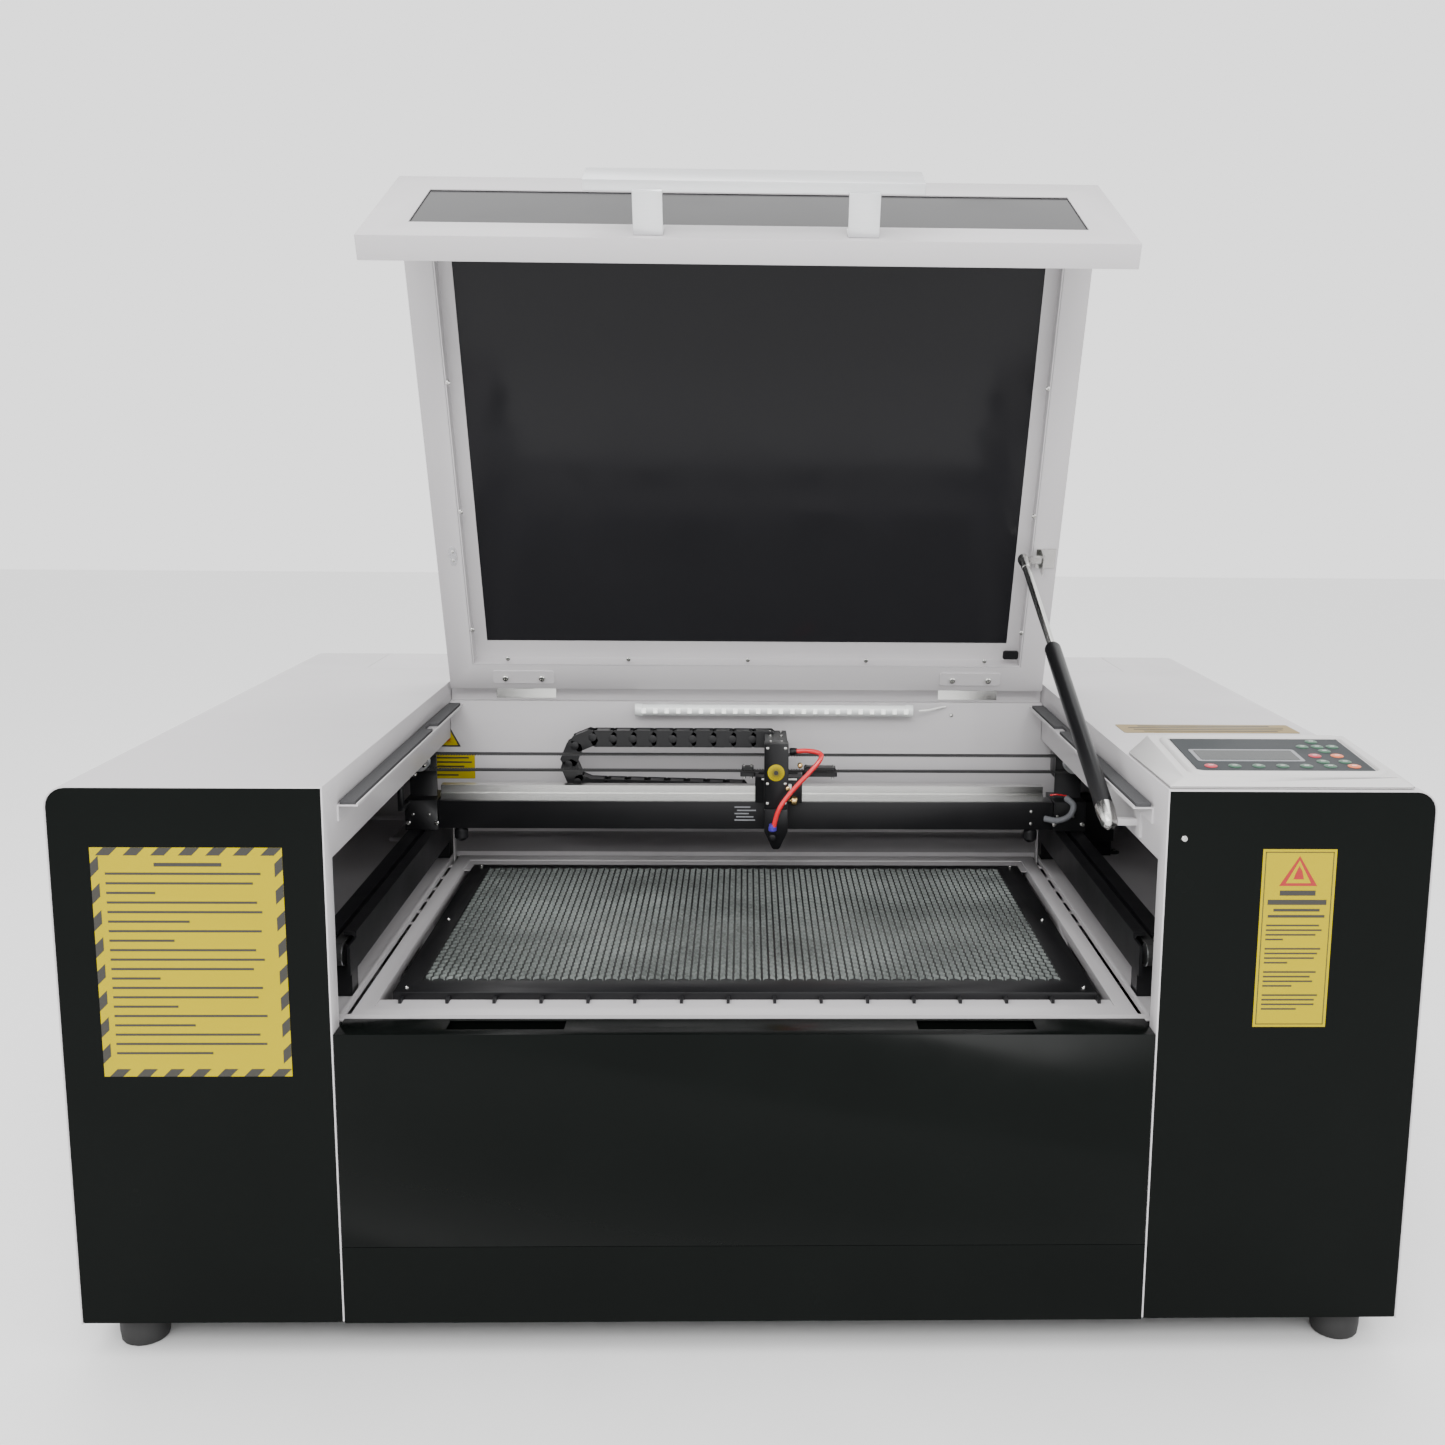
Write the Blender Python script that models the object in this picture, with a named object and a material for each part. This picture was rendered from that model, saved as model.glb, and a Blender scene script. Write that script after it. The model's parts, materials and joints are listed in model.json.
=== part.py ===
"""Desktop CO2 laser cutter with its lid open, built from separate sub-parts.

World frame: metres, X to the right, Y to the back, Z up, origin on the floor under the middle.
The numbers below are drawing units of 0.9 mm. y is counted backwards from the front face, and
z upwards from a datum that lies DATUM above the floor. Each moving group hangs on an empty
that stands on its joint's axis.
"""
import math

import bmesh
import bpy
from mathutils import Matrix, Vector

# The drawing's case is WIDTH wide, and every length is brought to the real width by one factor
CASE_WIDTH = 1.161
WIDTH = 1290.0
UNIT = CASE_WIDTH / WIDTH

# Overall size
DEPTH = 905.0
TOP = 553.5
DATUM = 18.0
UNDERSIDE = 18.0
COLLAR_REACH = 60.0
MIDDLE_Y = (DEPTH + COLLAR_REACH) / 2

# Sheet metal
SHEET = 1.5
GAP = 0.34
CORNER = 20.0

# Main stations
HALF = WIDTH / 2
BAY = 391.0
DECK_TOP = 311.5
DOOR_LOW = 98.0
DOOR_TOP = 314.3
LEDGE_TOP = 525.0
BAY_BACK = 648.0
REAR_LEDGE = 528.4
WALL_Y = 635.3
COVER_FRONT = 760.0
COVER_HALF = 527.0
SHELF_Z = 400.0
DUCT_Z = 200.0
DUCT_R = 81.6

# Lid, drawn closed and then swung open on its axis
LID_HALF = 386.5
LID_LENGTH = 643.0
LID_UNDER = 529.0
LID_LOW = 316.0
LID_DEEP = 25.0
LID_OPEN = 68.0
LID_AXIS = (0.0, 645.6, 554.5)
HINGE_R = 2.0

# Gas strut: ball centres with the lid open, and the lid's ball as drawn closed
STRUT_FOOT = (362.0, 108.5, 497.0)
STRUT_HEAD_CLOSED = (341.0, 444.0, 514.0)
STRUT_BLIND = 40.0
STRUT_ROD = 277.0

# Work table
TABLE_HALF = 389.0
TABLE_FRONT = 56.0
TABLE_BACK = 664.0
TABLE_RIM = 18.0
COMB_HALF = 357.5
COMB_FRONT = 106.0
COMB_BACK = 593.0
SLATS = 16
SLAT_FIRST = -348.0
SLAT_PITCH = 47.0
SCREW_X = 402.0
SCREW_Y = 360.0

# Motion system
RAIL_IN = 393.0
RAIL_OUT = 428.0
RAIL_LOW = 343.0
RAIL_HIGH = 380.0
RAIL_FRONT = 112.0
RAIL_END = 672.0
Y_BELT_Z = 361.0
Y_IDLER_Y = 98.0
Y_SHAFT_Y = 692.0
PULLEY_R = 9.6
BEAM_Y = 532.0
BEAM_LOW = 382.0
BEAM_HIGH = 417.5
BEAM_END = 390.0
X_BELT_Z = 465.0
X_BELT_Y = 542.0
X_IDLER_X = -414.0
X_MOTOR_X = 416.0
CHAIN_BEND = -196.0
HEAD_X = 36.0
HEAD_Y = 506.0
LIGHT_Z = 466.0

# Laser tube
TUBE_R = 27.5
TUBE_Y = 842.0
MIRROR_X = -424.0


# ---------------------------------------------------------------- helpers

def clear_scene():
    for item in list(bpy.data.objects):
        bpy.data.objects.remove(item, do_unlink=True)


def paint(name, colour, roughness, metallic=0.0):
    """A Principled material with the sub-part's colour."""
    material = bpy.data.materials.new(name)
    material.use_nodes = True
    shader = material.node_tree.nodes["Principled BSDF"]
    shader.inputs["Base Color"].default_value = (*colour, 1.0)
    shader.inputs["Roughness"].default_value = roughness
    shader.inputs["Metallic"].default_value = metallic
    return material


def axis_empty(name, place):
    """An empty at a joint's axis. Its children keep the machine's own directions."""
    empty = bpy.data.objects.new(name, None)
    empty.location = to_world(place)
    bpy.context.collection.objects.link(empty)
    return empty


def to_world(place):
    x, y, z = place
    return Vector((x * UNIT, (y - MIDDLE_Y) * UNIT, (z + DATUM) * UNIT))


def finish(name, shape, material, parent=None, smooth=35.0):
    """Turn a bmesh drawn in the machine's units into a named object under its parent."""
    pivot = parent.location if parent else Vector((0, 0, 0))
    for vert in shape.verts:
        vert.co = to_world(vert.co) - pivot
    bmesh.ops.recalc_face_normals(shape, faces=shape.faces)
    mesh = bpy.data.meshes.new(name)
    shape.to_mesh(mesh)
    shape.free()
    mesh.shade_smooth()
    mesh.set_sharp_from_angle(angle=math.radians(smooth))
    mesh.materials.append(material)
    item = bpy.data.objects.new(name, mesh)
    bpy.context.collection.objects.link(item)
    item.parent = parent
    return item


def inside(boxes, x, y, z):
    return any(b[0] < x < b[1] and b[2] < y < b[3] and b[4] < z < b[5] for b in boxes)


def bricks(adds, cuts=(), shape=None):
    """One skin round the union of boxes, less the boxes cut away.

    A box is (x low, x high, y low, y high, z low, z high).
    """
    shape = shape or bmesh.new()
    boxes = list(adds) + list(cuts)
    xs = sorted({v for b in boxes for v in b[0:2]})
    ys = sorted({v for b in boxes for v in b[2:4]})
    zs = sorted({v for b in boxes for v in b[4:6]})
    size = (len(xs) - 1, len(ys) - 1, len(zs) - 1)
    full = set()
    for i in range(size[0]):
        for j in range(size[1]):
            for k in range(size[2]):
                middle = ((xs[i] + xs[i + 1]) / 2, (ys[j] + ys[j + 1]) / 2, (zs[k] + zs[k + 1]) / 2)
                if inside(adds, *middle) and not inside(cuts, *middle):
                    full.add((i, j, k))
    corners = {}

    def corner(i, j, k):
        if (i, j, k) not in corners:
            corners[(i, j, k)] = shape.verts.new((xs[i], ys[j], zs[k]))
        return corners[(i, j, k)]

    sides = {
        (-1, 0, 0): ((0, 0, 0), (0, 0, 1), (0, 1, 1), (0, 1, 0)),
        (1, 0, 0): ((1, 0, 0), (1, 1, 0), (1, 1, 1), (1, 0, 1)),
        (0, -1, 0): ((0, 0, 0), (1, 0, 0), (1, 0, 1), (0, 0, 1)),
        (0, 1, 0): ((0, 1, 0), (0, 1, 1), (1, 1, 1), (1, 1, 0)),
        (0, 0, -1): ((0, 0, 0), (0, 1, 0), (1, 1, 0), (1, 0, 0)),
        (0, 0, 1): ((0, 0, 1), (1, 0, 1), (1, 1, 1), (0, 1, 1)),
    }
    fresh = []
    for i, j, k in sorted(full):
        for step, ring in sides.items():
            if (i + step[0], j + step[1], k + step[2]) not in full:
                loop = [corner(i + a, j + b, k + c) for a, b, c in ring]
                fresh.append(shape.faces.new(loop))
    edges = list({edge for face in fresh for edge in face.edges})
    verts = list(corners.values())
    bmesh.ops.dissolve_limit(shape, angle_limit=0.001, verts=verts, edges=edges)
    return shape


def mirrored(boxes):
    """The boxes and their mirror images across x = 0."""
    return list(boxes) + [(-b[1], -b[0], b[2], b[3], b[4], b[5]) for b in boxes]


def extruded(outline, plane, low, high, shape=None):
    """Push a flat outline through the depth low..high across its plane."""
    shape = shape or bmesh.new()
    place = {
        "XZ": lambda a, b, t: (a, t, b),
        "YZ": lambda a, b, t: (t, a, b),
        "XY": lambda a, b, t: (a, b, t),
    }[plane]
    first = [shape.verts.new(place(a, b, low)) for a, b in outline]
    last = [shape.verts.new(place(a, b, high)) for a, b in outline]
    shape.faces.new(first)
    shape.faces.new(list(reversed(last)))
    for n in range(len(outline)):
        m = (n + 1) % len(outline)
        shape.faces.new((first[m], first[n], last[n], last[m]))
    return shape


def hoop(outer, inner, plane, low, high, shape=None):
    """A closed band between two outlines with the same number of points."""
    shape = shape or bmesh.new()
    place = {
        "XZ": lambda a, b, t: (a, t, b),
        "YZ": lambda a, b, t: (t, a, b),
        "XY": lambda a, b, t: (a, b, t),
    }[plane]
    rings = [[shape.verts.new(place(a, b, t)) for a, b in line]
             for line, t in ((outer, low), (outer, high), (inner, high), (inner, low))]
    count = len(outer)
    for r in range(4):
        near, far = rings[r], rings[(r + 1) % 4]
        for n in range(count):
            m = (n + 1) % count
            shape.faces.new((near[n], near[m], far[m], far[n]))
    return shape


def arc(centre, radius, start, stop, steps):
    """Points of an arc in degrees, both ends included."""
    return [(centre[0] + radius * math.cos(math.radians(start + (stop - start) * n / steps)),
             centre[1] + radius * math.sin(math.radians(start + (stop - start) * n / steps)))
            for n in range(steps + 1)]


def turned(start, end, profile, sides=20, shape=None, ring=False):
    """Spin (radius, distance) points round the line from start towards end.

    A ring profile closes on itself round a bore. Otherwise both ends are capped.
    """
    shape = shape or bmesh.new()
    start = Vector(start)
    along = (Vector(end) - start).normalized()
    frame = along.to_track_quat("Z", "Y").to_matrix()
    loops = []
    for radius, distance in profile:
        loop = []
        for n in range(sides):
            turn = 2 * math.pi * n / sides
            spot = frame @ Vector((radius * math.cos(turn), radius * math.sin(turn), distance))
            loop.append(shape.verts.new(start + spot))
        loops.append(loop)
    pairs = list(zip(loops, loops[1:]))
    if ring:
        pairs.append((loops[-1], loops[0]))
    else:
        shape.faces.new(list(reversed(loops[0])))
        shape.faces.new(loops[-1])
    for near, far in pairs:
        for n in range(sides):
            m = (n + 1) % sides
            shape.faces.new((near[n], near[m], far[m], far[n]))
    return shape


def bar(start, end, radius, sides=16, shape=None):
    length = (Vector(end) - Vector(start)).length
    return turned(start, end, [(radius, 0.0), (radius, length)], sides, shape)


def ball(centre, radius, sides=14, shape=None):
    steps = 6
    lift = 0.12
    profile = []
    for n in range(steps + 1):
        turn = math.pi * (lift + (1 - 2 * lift) * n / steps)
        profile.append((radius * math.sin(turn), radius - radius * math.cos(turn)))
    low = Vector(centre) - Vector((0, 0, radius))
    return turned(low, Vector(centre), profile, sides, shape)


def stadium(left, right, height, radius, steps=8):
    """A loop round two pulleys of one radius at the same height."""
    return (arc((right, height), radius, -90, 90, steps)
            + arc((left, height), radius, 90, 270, steps))


def combine(item, shape, operation):
    """Cut the shape out of the item, or weld it on. The shape is in drawing units."""
    name = "%s_%s_%d" % (item.name, operation.lower(), len(item.modifiers) + 1)
    tool = finish(name, shape, item.data.materials[0], item.parent)
    tool.display_type = "WIRE"
    tool.hide_render = True
    change = item.modifiers.new(name, "BOOLEAN")
    change.operation = operation
    change.solver = "EXACT"
    change.object = tool


def cut(item, shape):
    combine(item, shape, "DIFFERENCE")


def weld(item, shape):
    combine(item, shape, "UNION")


# ---------------------------------------------------------------- materials

WHITE = paint("white_paint", (0.78, 0.77, 0.75), 0.35)
BLACK = paint("black_paint", (0.012, 0.013, 0.013), 0.18)
ANODISED = paint("black_anodised", (0.02, 0.021, 0.021), 0.4, 0.4)
STEEL = paint("bright_steel", (0.62, 0.62, 0.6), 0.25, 1.0)
ALUMINIUM = paint("aluminium", (0.7, 0.7, 0.7), 0.35, 1.0)
ACRYLIC = paint("dark_acrylic", (0.02, 0.02, 0.022), 0.1)
RUBBER = paint("black_rubber", (0.02, 0.02, 0.02), 0.8)
FOAM = paint("grey_foam", (0.06, 0.06, 0.063), 0.9)
PLASTIC = paint("black_plastic", (0.02, 0.02, 0.02), 0.5)
WHITE_PLASTIC = paint("white_plastic", (0.8, 0.79, 0.77), 0.4)
FILM = paint("keypad_film", (0.09, 0.095, 0.1), 0.4)
LAMP = paint("lamp_tube", (0.8, 0.82, 0.8), 0.2)
GLASS = paint("laser_glass", (0.75, 0.8, 0.82), 0.05)
HOSE_RED = paint("hose_red", (0.75, 0.02, 0.03), 0.35)
BRASS = paint("brass", (0.6, 0.42, 0.2), 0.3, 1.0)


# ---------------------------------------------------------------- body

def handed(side, box):
    """A box drawn on the right, put on the side that is asked for."""
    low, high = sorted((side * box[0], side * box[1]))
    return (low, high) + tuple(box[2:])


def shell_outline(side):
    """One bent sheet: up the bay wall, over the top and down the outside."""
    outer = [(BAY, UNDERSIDE + 2.0), (BAY, TOP), (HALF - CORNER, TOP)]
    outer += arc((HALF - CORNER, TOP - CORNER), CORNER, 90, 0, 6)[1:]
    outer += [(HALF, UNDERSIDE)]
    back = [(HALF - SHEET, UNDERSIDE)]
    back += arc((HALF - CORNER, TOP - CORNER), CORNER - SHEET, 0, 90, 6)
    back += [(BAY + SHEET, TOP - SHEET), (BAY + SHEET, UNDERSIDE + 2.0)]
    return [(side * x, z) for x, z in outer + back]


def cabinet_shell(name, side):
    """A cabinet's bent sheet, with its windows, and the lid ledge welded to its bay wall."""
    shell = finish(name, extruded(shell_outline(side), "XZ", 0.0, DEPTH - SHEET - GAP), WHITE)
    windows = [
        (BAY - 6, BAY + 8, 26.0, 640.0, 300.0, 480.0),
        (BAY - 6, BAY + 8, SCREW_Y - 45.0, SCREW_Y + 45.0, 50.0, 301.0),
        (BAY - 6, BAY + 8, 651.0, 889.0, 300.0, 536.0),
        (BAY - 8, COVER_HALF + GAP, COVER_FRONT, DEPTH + 5, TOP - 12.0, TOP + 6.0),
    ]
    for box in windows:
        cut(shell, bricks([handed(side, box)]))
    ledge = [
        (371.0, BAY + 0.5, 50.0, 620.0, LEDGE_TOP - SHEET, LEDGE_TOP),
        (BAY - SHEET, BAY + 0.5, 50.0, 620.0, LEDGE_TOP - 16.0, LEDGE_TOP),
        (371.0, 371.0 + SHEET, 50.0, 620.0, LEDGE_TOP - SHEET, LEDGE_TOP + 1.6),
    ]
    weld(shell, bricks([handed(side, box) for box in ledge]))
    if side > 0:
        weld(shell, strut_foot_bracket())


def strut_foot_bracket():
    """The plate on the bay wall with the stud that the gas strut stands on."""
    x, y, z = STRUT_FOOT
    plate = (BAY - 2.0, BAY + 0.5, y - 16, y + 16, z - 13, z + 13)
    stud = (x + 8.0, BAY - 1.0, y - 3.5, y + 3.5, z - 3.5, z + 3.5)
    return bricks([plate, stud])


def front_panel(name, side):
    inner = BAY + SHEET + GAP
    outer = HALF - SHEET - GAP
    high = TOP - SHEET - GAP
    radius = CORNER - SHEET - GAP
    outline = [(inner, UNDERSIDE + 2.0), (inner, high), (outer - radius, high)]
    outline += arc((outer - radius, high - radius), radius, 90, 0, 6)[1:]
    outline += [(outer, UNDERSIDE + 2.0)]
    outline = [(side * x, z) for x, z in outline]
    finish(name, extruded(outline, "XZ", GAP, GAP + SHEET), BLACK)


def base_pan():
    """The floor tray, slotted where the bay walls stand in its front and back rims."""
    x = HALF - SHEET - GAP
    front, back = 2.3, DEPTH - SHEET - GAP - GAP
    low, high = UNDERSIDE, UNDERSIDE + SHEET
    rim = UNDERSIDE + 22.0
    adds = mirrored([(x - SHEET, x, front, back, low, rim)]) + [
        (-x, x, front, back, low, high),
        (-x, x, front, front + SHEET, low, rim),
        (-x, x, back - SHEET, back, low, rim),
    ]
    slot = (BAY - 1.0, BAY + SHEET + 1.0, front - 1.0, back + 1.0, high, rim + 1.0)
    finish("base_pan", bricks(adds, mirrored([slot])), BLACK)


def front_plinth():
    x = BAY - GAP
    high = DOOR_LOW - 0.5
    adds = [
        (-x, x, GAP, GAP + SHEET, UNDERSIDE, high),
        (-x, x, GAP, 22.0, high - SHEET, high),
    ]
    finish("front_plinth", bricks(adds), BLACK)


def rear_panel():
    outline = [(-HALF, UNDERSIDE)]
    outline += arc((-HALF + CORNER, TOP - CORNER), CORNER, 180, 90, 6)
    outline += arc((HALF - CORNER, TOP - CORNER), CORNER, 90, 0, 6)
    outline += [(HALF, UNDERSIDE)]
    panel = finish("rear_panel", extruded(outline, "XZ", DEPTH - SHEET, DEPTH), WHITE)
    cut(panel, bar((0, DEPTH - 10, DUCT_Z), (0, DEPTH + 10, DUCT_Z), DUCT_R - 1.0, 32))
    slots = []
    for row in range(8):
        low = 120.0 + 18.0 * row
        slots.append((430.0, 570.0, DEPTH - 6, DEPTH + 6, low, low + 6.0))
    cut(panel, bricks(mirrored(slots)))
    cut(panel, bricks([(541.0, 579.0, DEPTH - 6, DEPTH + 6, 56.0, 94.0)]))


def rear_top_panel():
    """Top, lid stop, hinge ledge, chamber wall and tube shelf: one folded sheet."""
    x = BAY - 0.6
    ear = 445.0
    back = COVER_FRONT - GAP
    adds = [
        (-x, x, BAY_BACK, back, TOP - SHEET, TOP),
        (-x, x, BAY_BACK, BAY_BACK + SHEET, REAR_LEDGE - SHEET, TOP),
        (-x, x, WALL_Y, BAY_BACK + SHEET, REAR_LEDGE - SHEET, REAR_LEDGE),
        (-x, x, WALL_Y, WALL_Y + SHEET, SHELF_Z, REAR_LEDGE),
        (-ear, ear, WALL_Y, WALL_Y + SHEET, SHELF_Z, 479.0),
        (-x, x, WALL_Y, DEPTH - 6.0, SHELF_Z, SHELF_Z + SHEET),
    ]
    port = (MIRROR_X - 8, MIRROR_X + 8, WALL_Y - 5, WALL_Y + 5, LIGHT_Z - 8, LIGHT_Z + 8)
    finish("rear_top_panel", bricks(adds, [port]), WHITE)


def work_deck():
    """The bed sheet round the table's opening, with a low ridge round the opening."""
    low = DECK_TOP - SHEET
    lip = DECK_TOP + 5.0
    adds = [
        (-600.0, 600.0, 46.0, 740.0, low, DECK_TOP),
        (-430.0, 430.0, 46.0, 800.0, low, DECK_TOP),
        (-430.0, 430.0, 800.0 - SHEET, 800.0, low, lip),
        (-BAY + 1.0, BAY - 1.0, 46.0, 46.0 + SHEET, 290.0, DECK_TOP),
        (-397.0, 397.0, 48.5, 672.5, low, DECK_TOP + 4.0),
    ]
    adds += mirrored([
        (500.0, 600.0, 46.0, 866.0, low, DECK_TOP),
        (500.0, 600.0, 866.0 - SHEET, 866.0, low, lip),
        (430.0, 500.0, 740.0 - SHEET, 740.0, low, lip),
    ])
    mouth = (-393.5, 393.5, 52.0, 669.0, low - 5, lip + 5)
    finish("work_deck", bricks(adds, [mouth]), WHITE)


def feet():
    profile = [(21, 0), (23, 2), (24, 10), (24, DATUM + UNDERSIDE - GAP)]
    places = {
        "foot_front_left": (-600.0, 42.0),
        "foot_front_right": (600.0, 42.0),
        "foot_rear_left": (-600.0, 860.0),
        "foot_rear_right": (600.0, 860.0),
    }
    for name, (x, y) in places.items():
        finish(name, turned((x, y, -DATUM), (x, y, 0), profile, 20), RUBBER)


def work_lamp():
    y, z = WALL_Y - 15.0, 520.0
    profile = [(8.5, 0), (8.5, 10), (7.5, 10), (7.5, 354), (8.5, 354), (8.5, 364)]
    lamp = finish("work_lamp", turned((-147.0, y, z), (217.0, y, z), profile, 16), LAMP)
    clips = [(x - 8, x + 8, y + 5.0, WALL_Y - GAP, z - 5, z + 5) for x in (-110.0, 35.0, 180.0)]
    for clip in clips:
        weld(lamp, bricks([clip]))


def fixed_hinge_leaves():
    """A leaf on each side of the rear top panel's flange, with its two outer knuckles."""
    y, z = LID_AXIS[1], LID_AXIS[2]
    for name, side in (("left_hinge_leaf", -1), ("right_hinge_leaf", 1)):
        low, high = sorted((side * 253.0, side * 331.0))
        leaf = [
            (low, high, y + 0.9, BAY_BACK - GAP, 531.0, z - HINGE_R - GAP),
            (low, low + 25, y + 0.9, BAY_BACK - GAP, 531.0, z),
            (high - 25, high, y + 0.9, BAY_BACK - GAP, 531.0, z),
        ]
        item = finish(name, bricks(leaf), STEEL)
        weld(item, bar((low, y, z), (low + 25, y, z), HINGE_R, 12))
        weld(item, bar((high - 25, y, z), (high, y, z), HINGE_R, 12))


def y_rails():
    boxes = [
        (RAIL_IN, RAIL_OUT, RAIL_FRONT, RAIL_END, RAIL_LOW, RAIL_HIGH),
        (RAIL_IN + 6, RAIL_OUT, RAIL_FRONT, RAIL_FRONT + 24, DECK_TOP + GAP, RAIL_HIGH),
        (RAIL_IN + 6, RAIL_OUT, RAIL_END - 24, RAIL_END, DECK_TOP + GAP, RAIL_HIGH),
        (RAIL_IN, RAIL_IN + 3, Y_IDLER_Y - 14, RAIL_FRONT, RAIL_LOW, RAIL_HIGH - 6),
        (RAIL_OUT - 3, RAIL_OUT, Y_IDLER_Y - 14, RAIL_FRONT, RAIL_LOW, RAIL_HIGH - 6),
    ]
    cavity = (RAIL_IN + 3, RAIL_OUT - 3, RAIL_FRONT - 2, RAIL_END + 1, RAIL_LOW + 3, RAIL_HIGH - 4)
    slot = (405.5, 411.5, RAIL_FRONT - 2, RAIL_END + 1, RAIL_HIGH - 5, RAIL_HIGH + 1)
    for name, side in (("y_rail_left", -1), ("y_rail_right", 1)):
        adds = [handed(side, box) for box in boxes]
        finish(name, bricks(adds, [handed(side, cavity), handed(side, slot)]), ANODISED)


def y_belts():
    outer = stadium(Y_IDLER_Y, Y_SHAFT_Y, Y_BELT_Z, PULLEY_R + 1.8)
    inner = stadium(Y_IDLER_Y, Y_SHAFT_Y, Y_BELT_Z, PULLEY_R + GAP)
    for name, side in (("y_belt_left", -1), ("y_belt_right", 1)):
        low, high = sorted((side * 403.0, side * 413.0))
        finish(name, hoop(outer, inner, "YZ", low, high), RUBBER)


def y_motor():
    """The Y motor in line with the cross shaft, on a block that stands on the bed."""
    y = Y_SHAFT_Y
    boxes = [
        (447.0, 501.0, y - 28, y + 28, Y_BELT_Z - 28, Y_BELT_Z + 28),
        (449.0, 499.0, y - 24, y + 24, DECK_TOP + GAP, Y_BELT_Z),
    ]
    finish("y_motor", bricks(boxes), PLASTIC)


def laser_tube():
    """A glass tube along the back, stepped down to its two end caps."""
    start, end = (-332.0, TUBE_Y, LIGHT_Z), (515.0, TUBE_Y, LIGHT_Z)
    profile = [(9, 0), (9, 14), (16, 16), (TUBE_R, 30), (TUBE_R, 810), (16, 824), (9, 826), (9, 842)]
    finish("laser_tube", turned(start, end, profile, 24), GLASS)


def tube_cradle():
    """Two saddles under the laser tube on one strip that lies on the shelf."""
    low = SHELF_Z + SHEET + GAP
    spots = (-210.0, 330.0)
    boxes = [(x, x + 18, TUBE_Y - 34, TUBE_Y + 34, low, LIGHT_Z) for x in spots]
    boxes.append((spots[0], spots[1] + 18, TUBE_Y - 15, TUBE_Y + 15, low, low + 3.0))
    item = finish("tube_cradle", bricks(boxes), ANODISED)
    for x in spots:
        cut(item, bar((x - 5, TUBE_Y, LIGHT_Z), (x + 25, TUBE_Y, LIGHT_Z), TUBE_R + 0.6, 24))


def mirror_disc(y):
    """A mirror cell turned 45 degrees to the light, as a short drum."""
    aim = Vector((1, 1, 0)).normalized()
    face = Vector((MIRROR_X, y, LIGHT_Z))
    return turned(face - aim * 8.0, face, [(11, 0), (11, 8.0)], 20)


def mirror_1_mount():
    """The mirror beside the tube's end, on an arm from the tube shelf."""
    arm = [
        (MIRROR_X - 12, -378.0, TUBE_Y - 12, TUBE_Y + 12, SHELF_Z + SHEET + GAP, SHELF_Z + 6.0),
        (MIRROR_X - 12, MIRROR_X - 4, TUBE_Y - 12, TUBE_Y + 2, SHELF_Z + SHEET + GAP, LIGHT_Z),
    ]
    item = finish("mirror_1_mount", bricks(arm), ANODISED)
    weld(item, mirror_disc(TUBE_Y))


def laser_power_supply():
    box = (-600.0, -440.0, 260.0, 560.0, UNDERSIDE + SHEET + GAP, 190.0)
    finish("laser_power_supply", bricks([box]), ALUMINIUM)


def exhaust_collar():
    reach = COLLAR_REACH - GAP
    wall = 1.7
    ring = [(DUCT_R, 0), (DUCT_R + 16, 0), (DUCT_R + 16, 2), (DUCT_R + wall, 2),
            (DUCT_R + wall, reach), (DUCT_R, reach)]
    start = (0, DEPTH + GAP, DUCT_Z)
    collar = turned(start, (0, DEPTH + 2, DUCT_Z), ring, 32, ring=True)
    finish("exhaust_collar", collar, ALUMINIUM)


def power_inlet():
    """An inlet body through the rear panel, with its open socket."""
    flange = (537.0, 583.0, DEPTH + GAP, DEPTH + 3.0, 52.0, 98.0)
    body = (542.0, 578.0, DEPTH - 32.0, DEPTH + 3.0, 57.0, 93.0)
    socket = (546.0, 574.0, DEPTH - 20.0, DEPTH + 8.0, 63.0, 84.0)
    finish("power_inlet", bricks([flange, body], [socket]), PLASTIC)


def roof_height(y):
    """Height of the control housing's sloping top at a distance from the front."""
    return TOP + 8.2 + (y - 10.0) * 0.0917


def slab(corners, under, over, shape=None):
    """A closed block between two heights given as functions of y, over an XY outline."""
    shape = shape or bmesh.new()
    low = [shape.verts.new((x, y, under(y))) for x, y in corners]
    high = [shape.verts.new((x, y, over(y))) for x, y in corners]
    shape.faces.new(list(reversed(low)))
    shape.faces.new(high)
    for n in range(len(corners)):
        m = (n + 1) % len(corners)
        shape.faces.new((low[n], low[m], high[m], high[n]))
    return shape


def control_housing():
    """A low wedge on the right cabinet, higher at the back, with sloping edges."""
    base = [(393.0, 3.0), (624.0, 3.0), (624.0, 168.0), (393.0, 168.0)]
    roof = [(408.0, 13.0), (611.0, 13.0), (611.0, 156.0), (408.0, 156.0)]
    shape = bmesh.new()
    low = [shape.verts.new((x, y, TOP + GAP)) for x, y in base]
    step = [shape.verts.new((x, y, TOP + 3.5)) for x, y in base]
    high = [shape.verts.new((x, y, roof_height(y) + 1.0)) for x, y in roof]
    shape.faces.new(list(reversed(low)))
    shape.faces.new(high)
    for near, far in ((low, step), (step, high)):
        for n in range(4):
            m = (n + 1) % 4
            shape.faces.new((near[n], near[m], far[m], far[n]))
    finish("control_housing", shape, WHITE_PLASTIC)


def keypad():
    """The membrane film with its domed keys, lying on the housing's sloping top."""
    corners = [(427.0, 30.0), (597.0, 30.0), (597.0, 139.0), (427.0, 139.0)]
    low = 1.0 + GAP
    film = slab(corners, lambda y: roof_height(y) + low, lambda y: roof_height(y) + low + 0.8)
    finish("keypad", film, FILM)


# ---------------------------------------------------------------- lid and door

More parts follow.
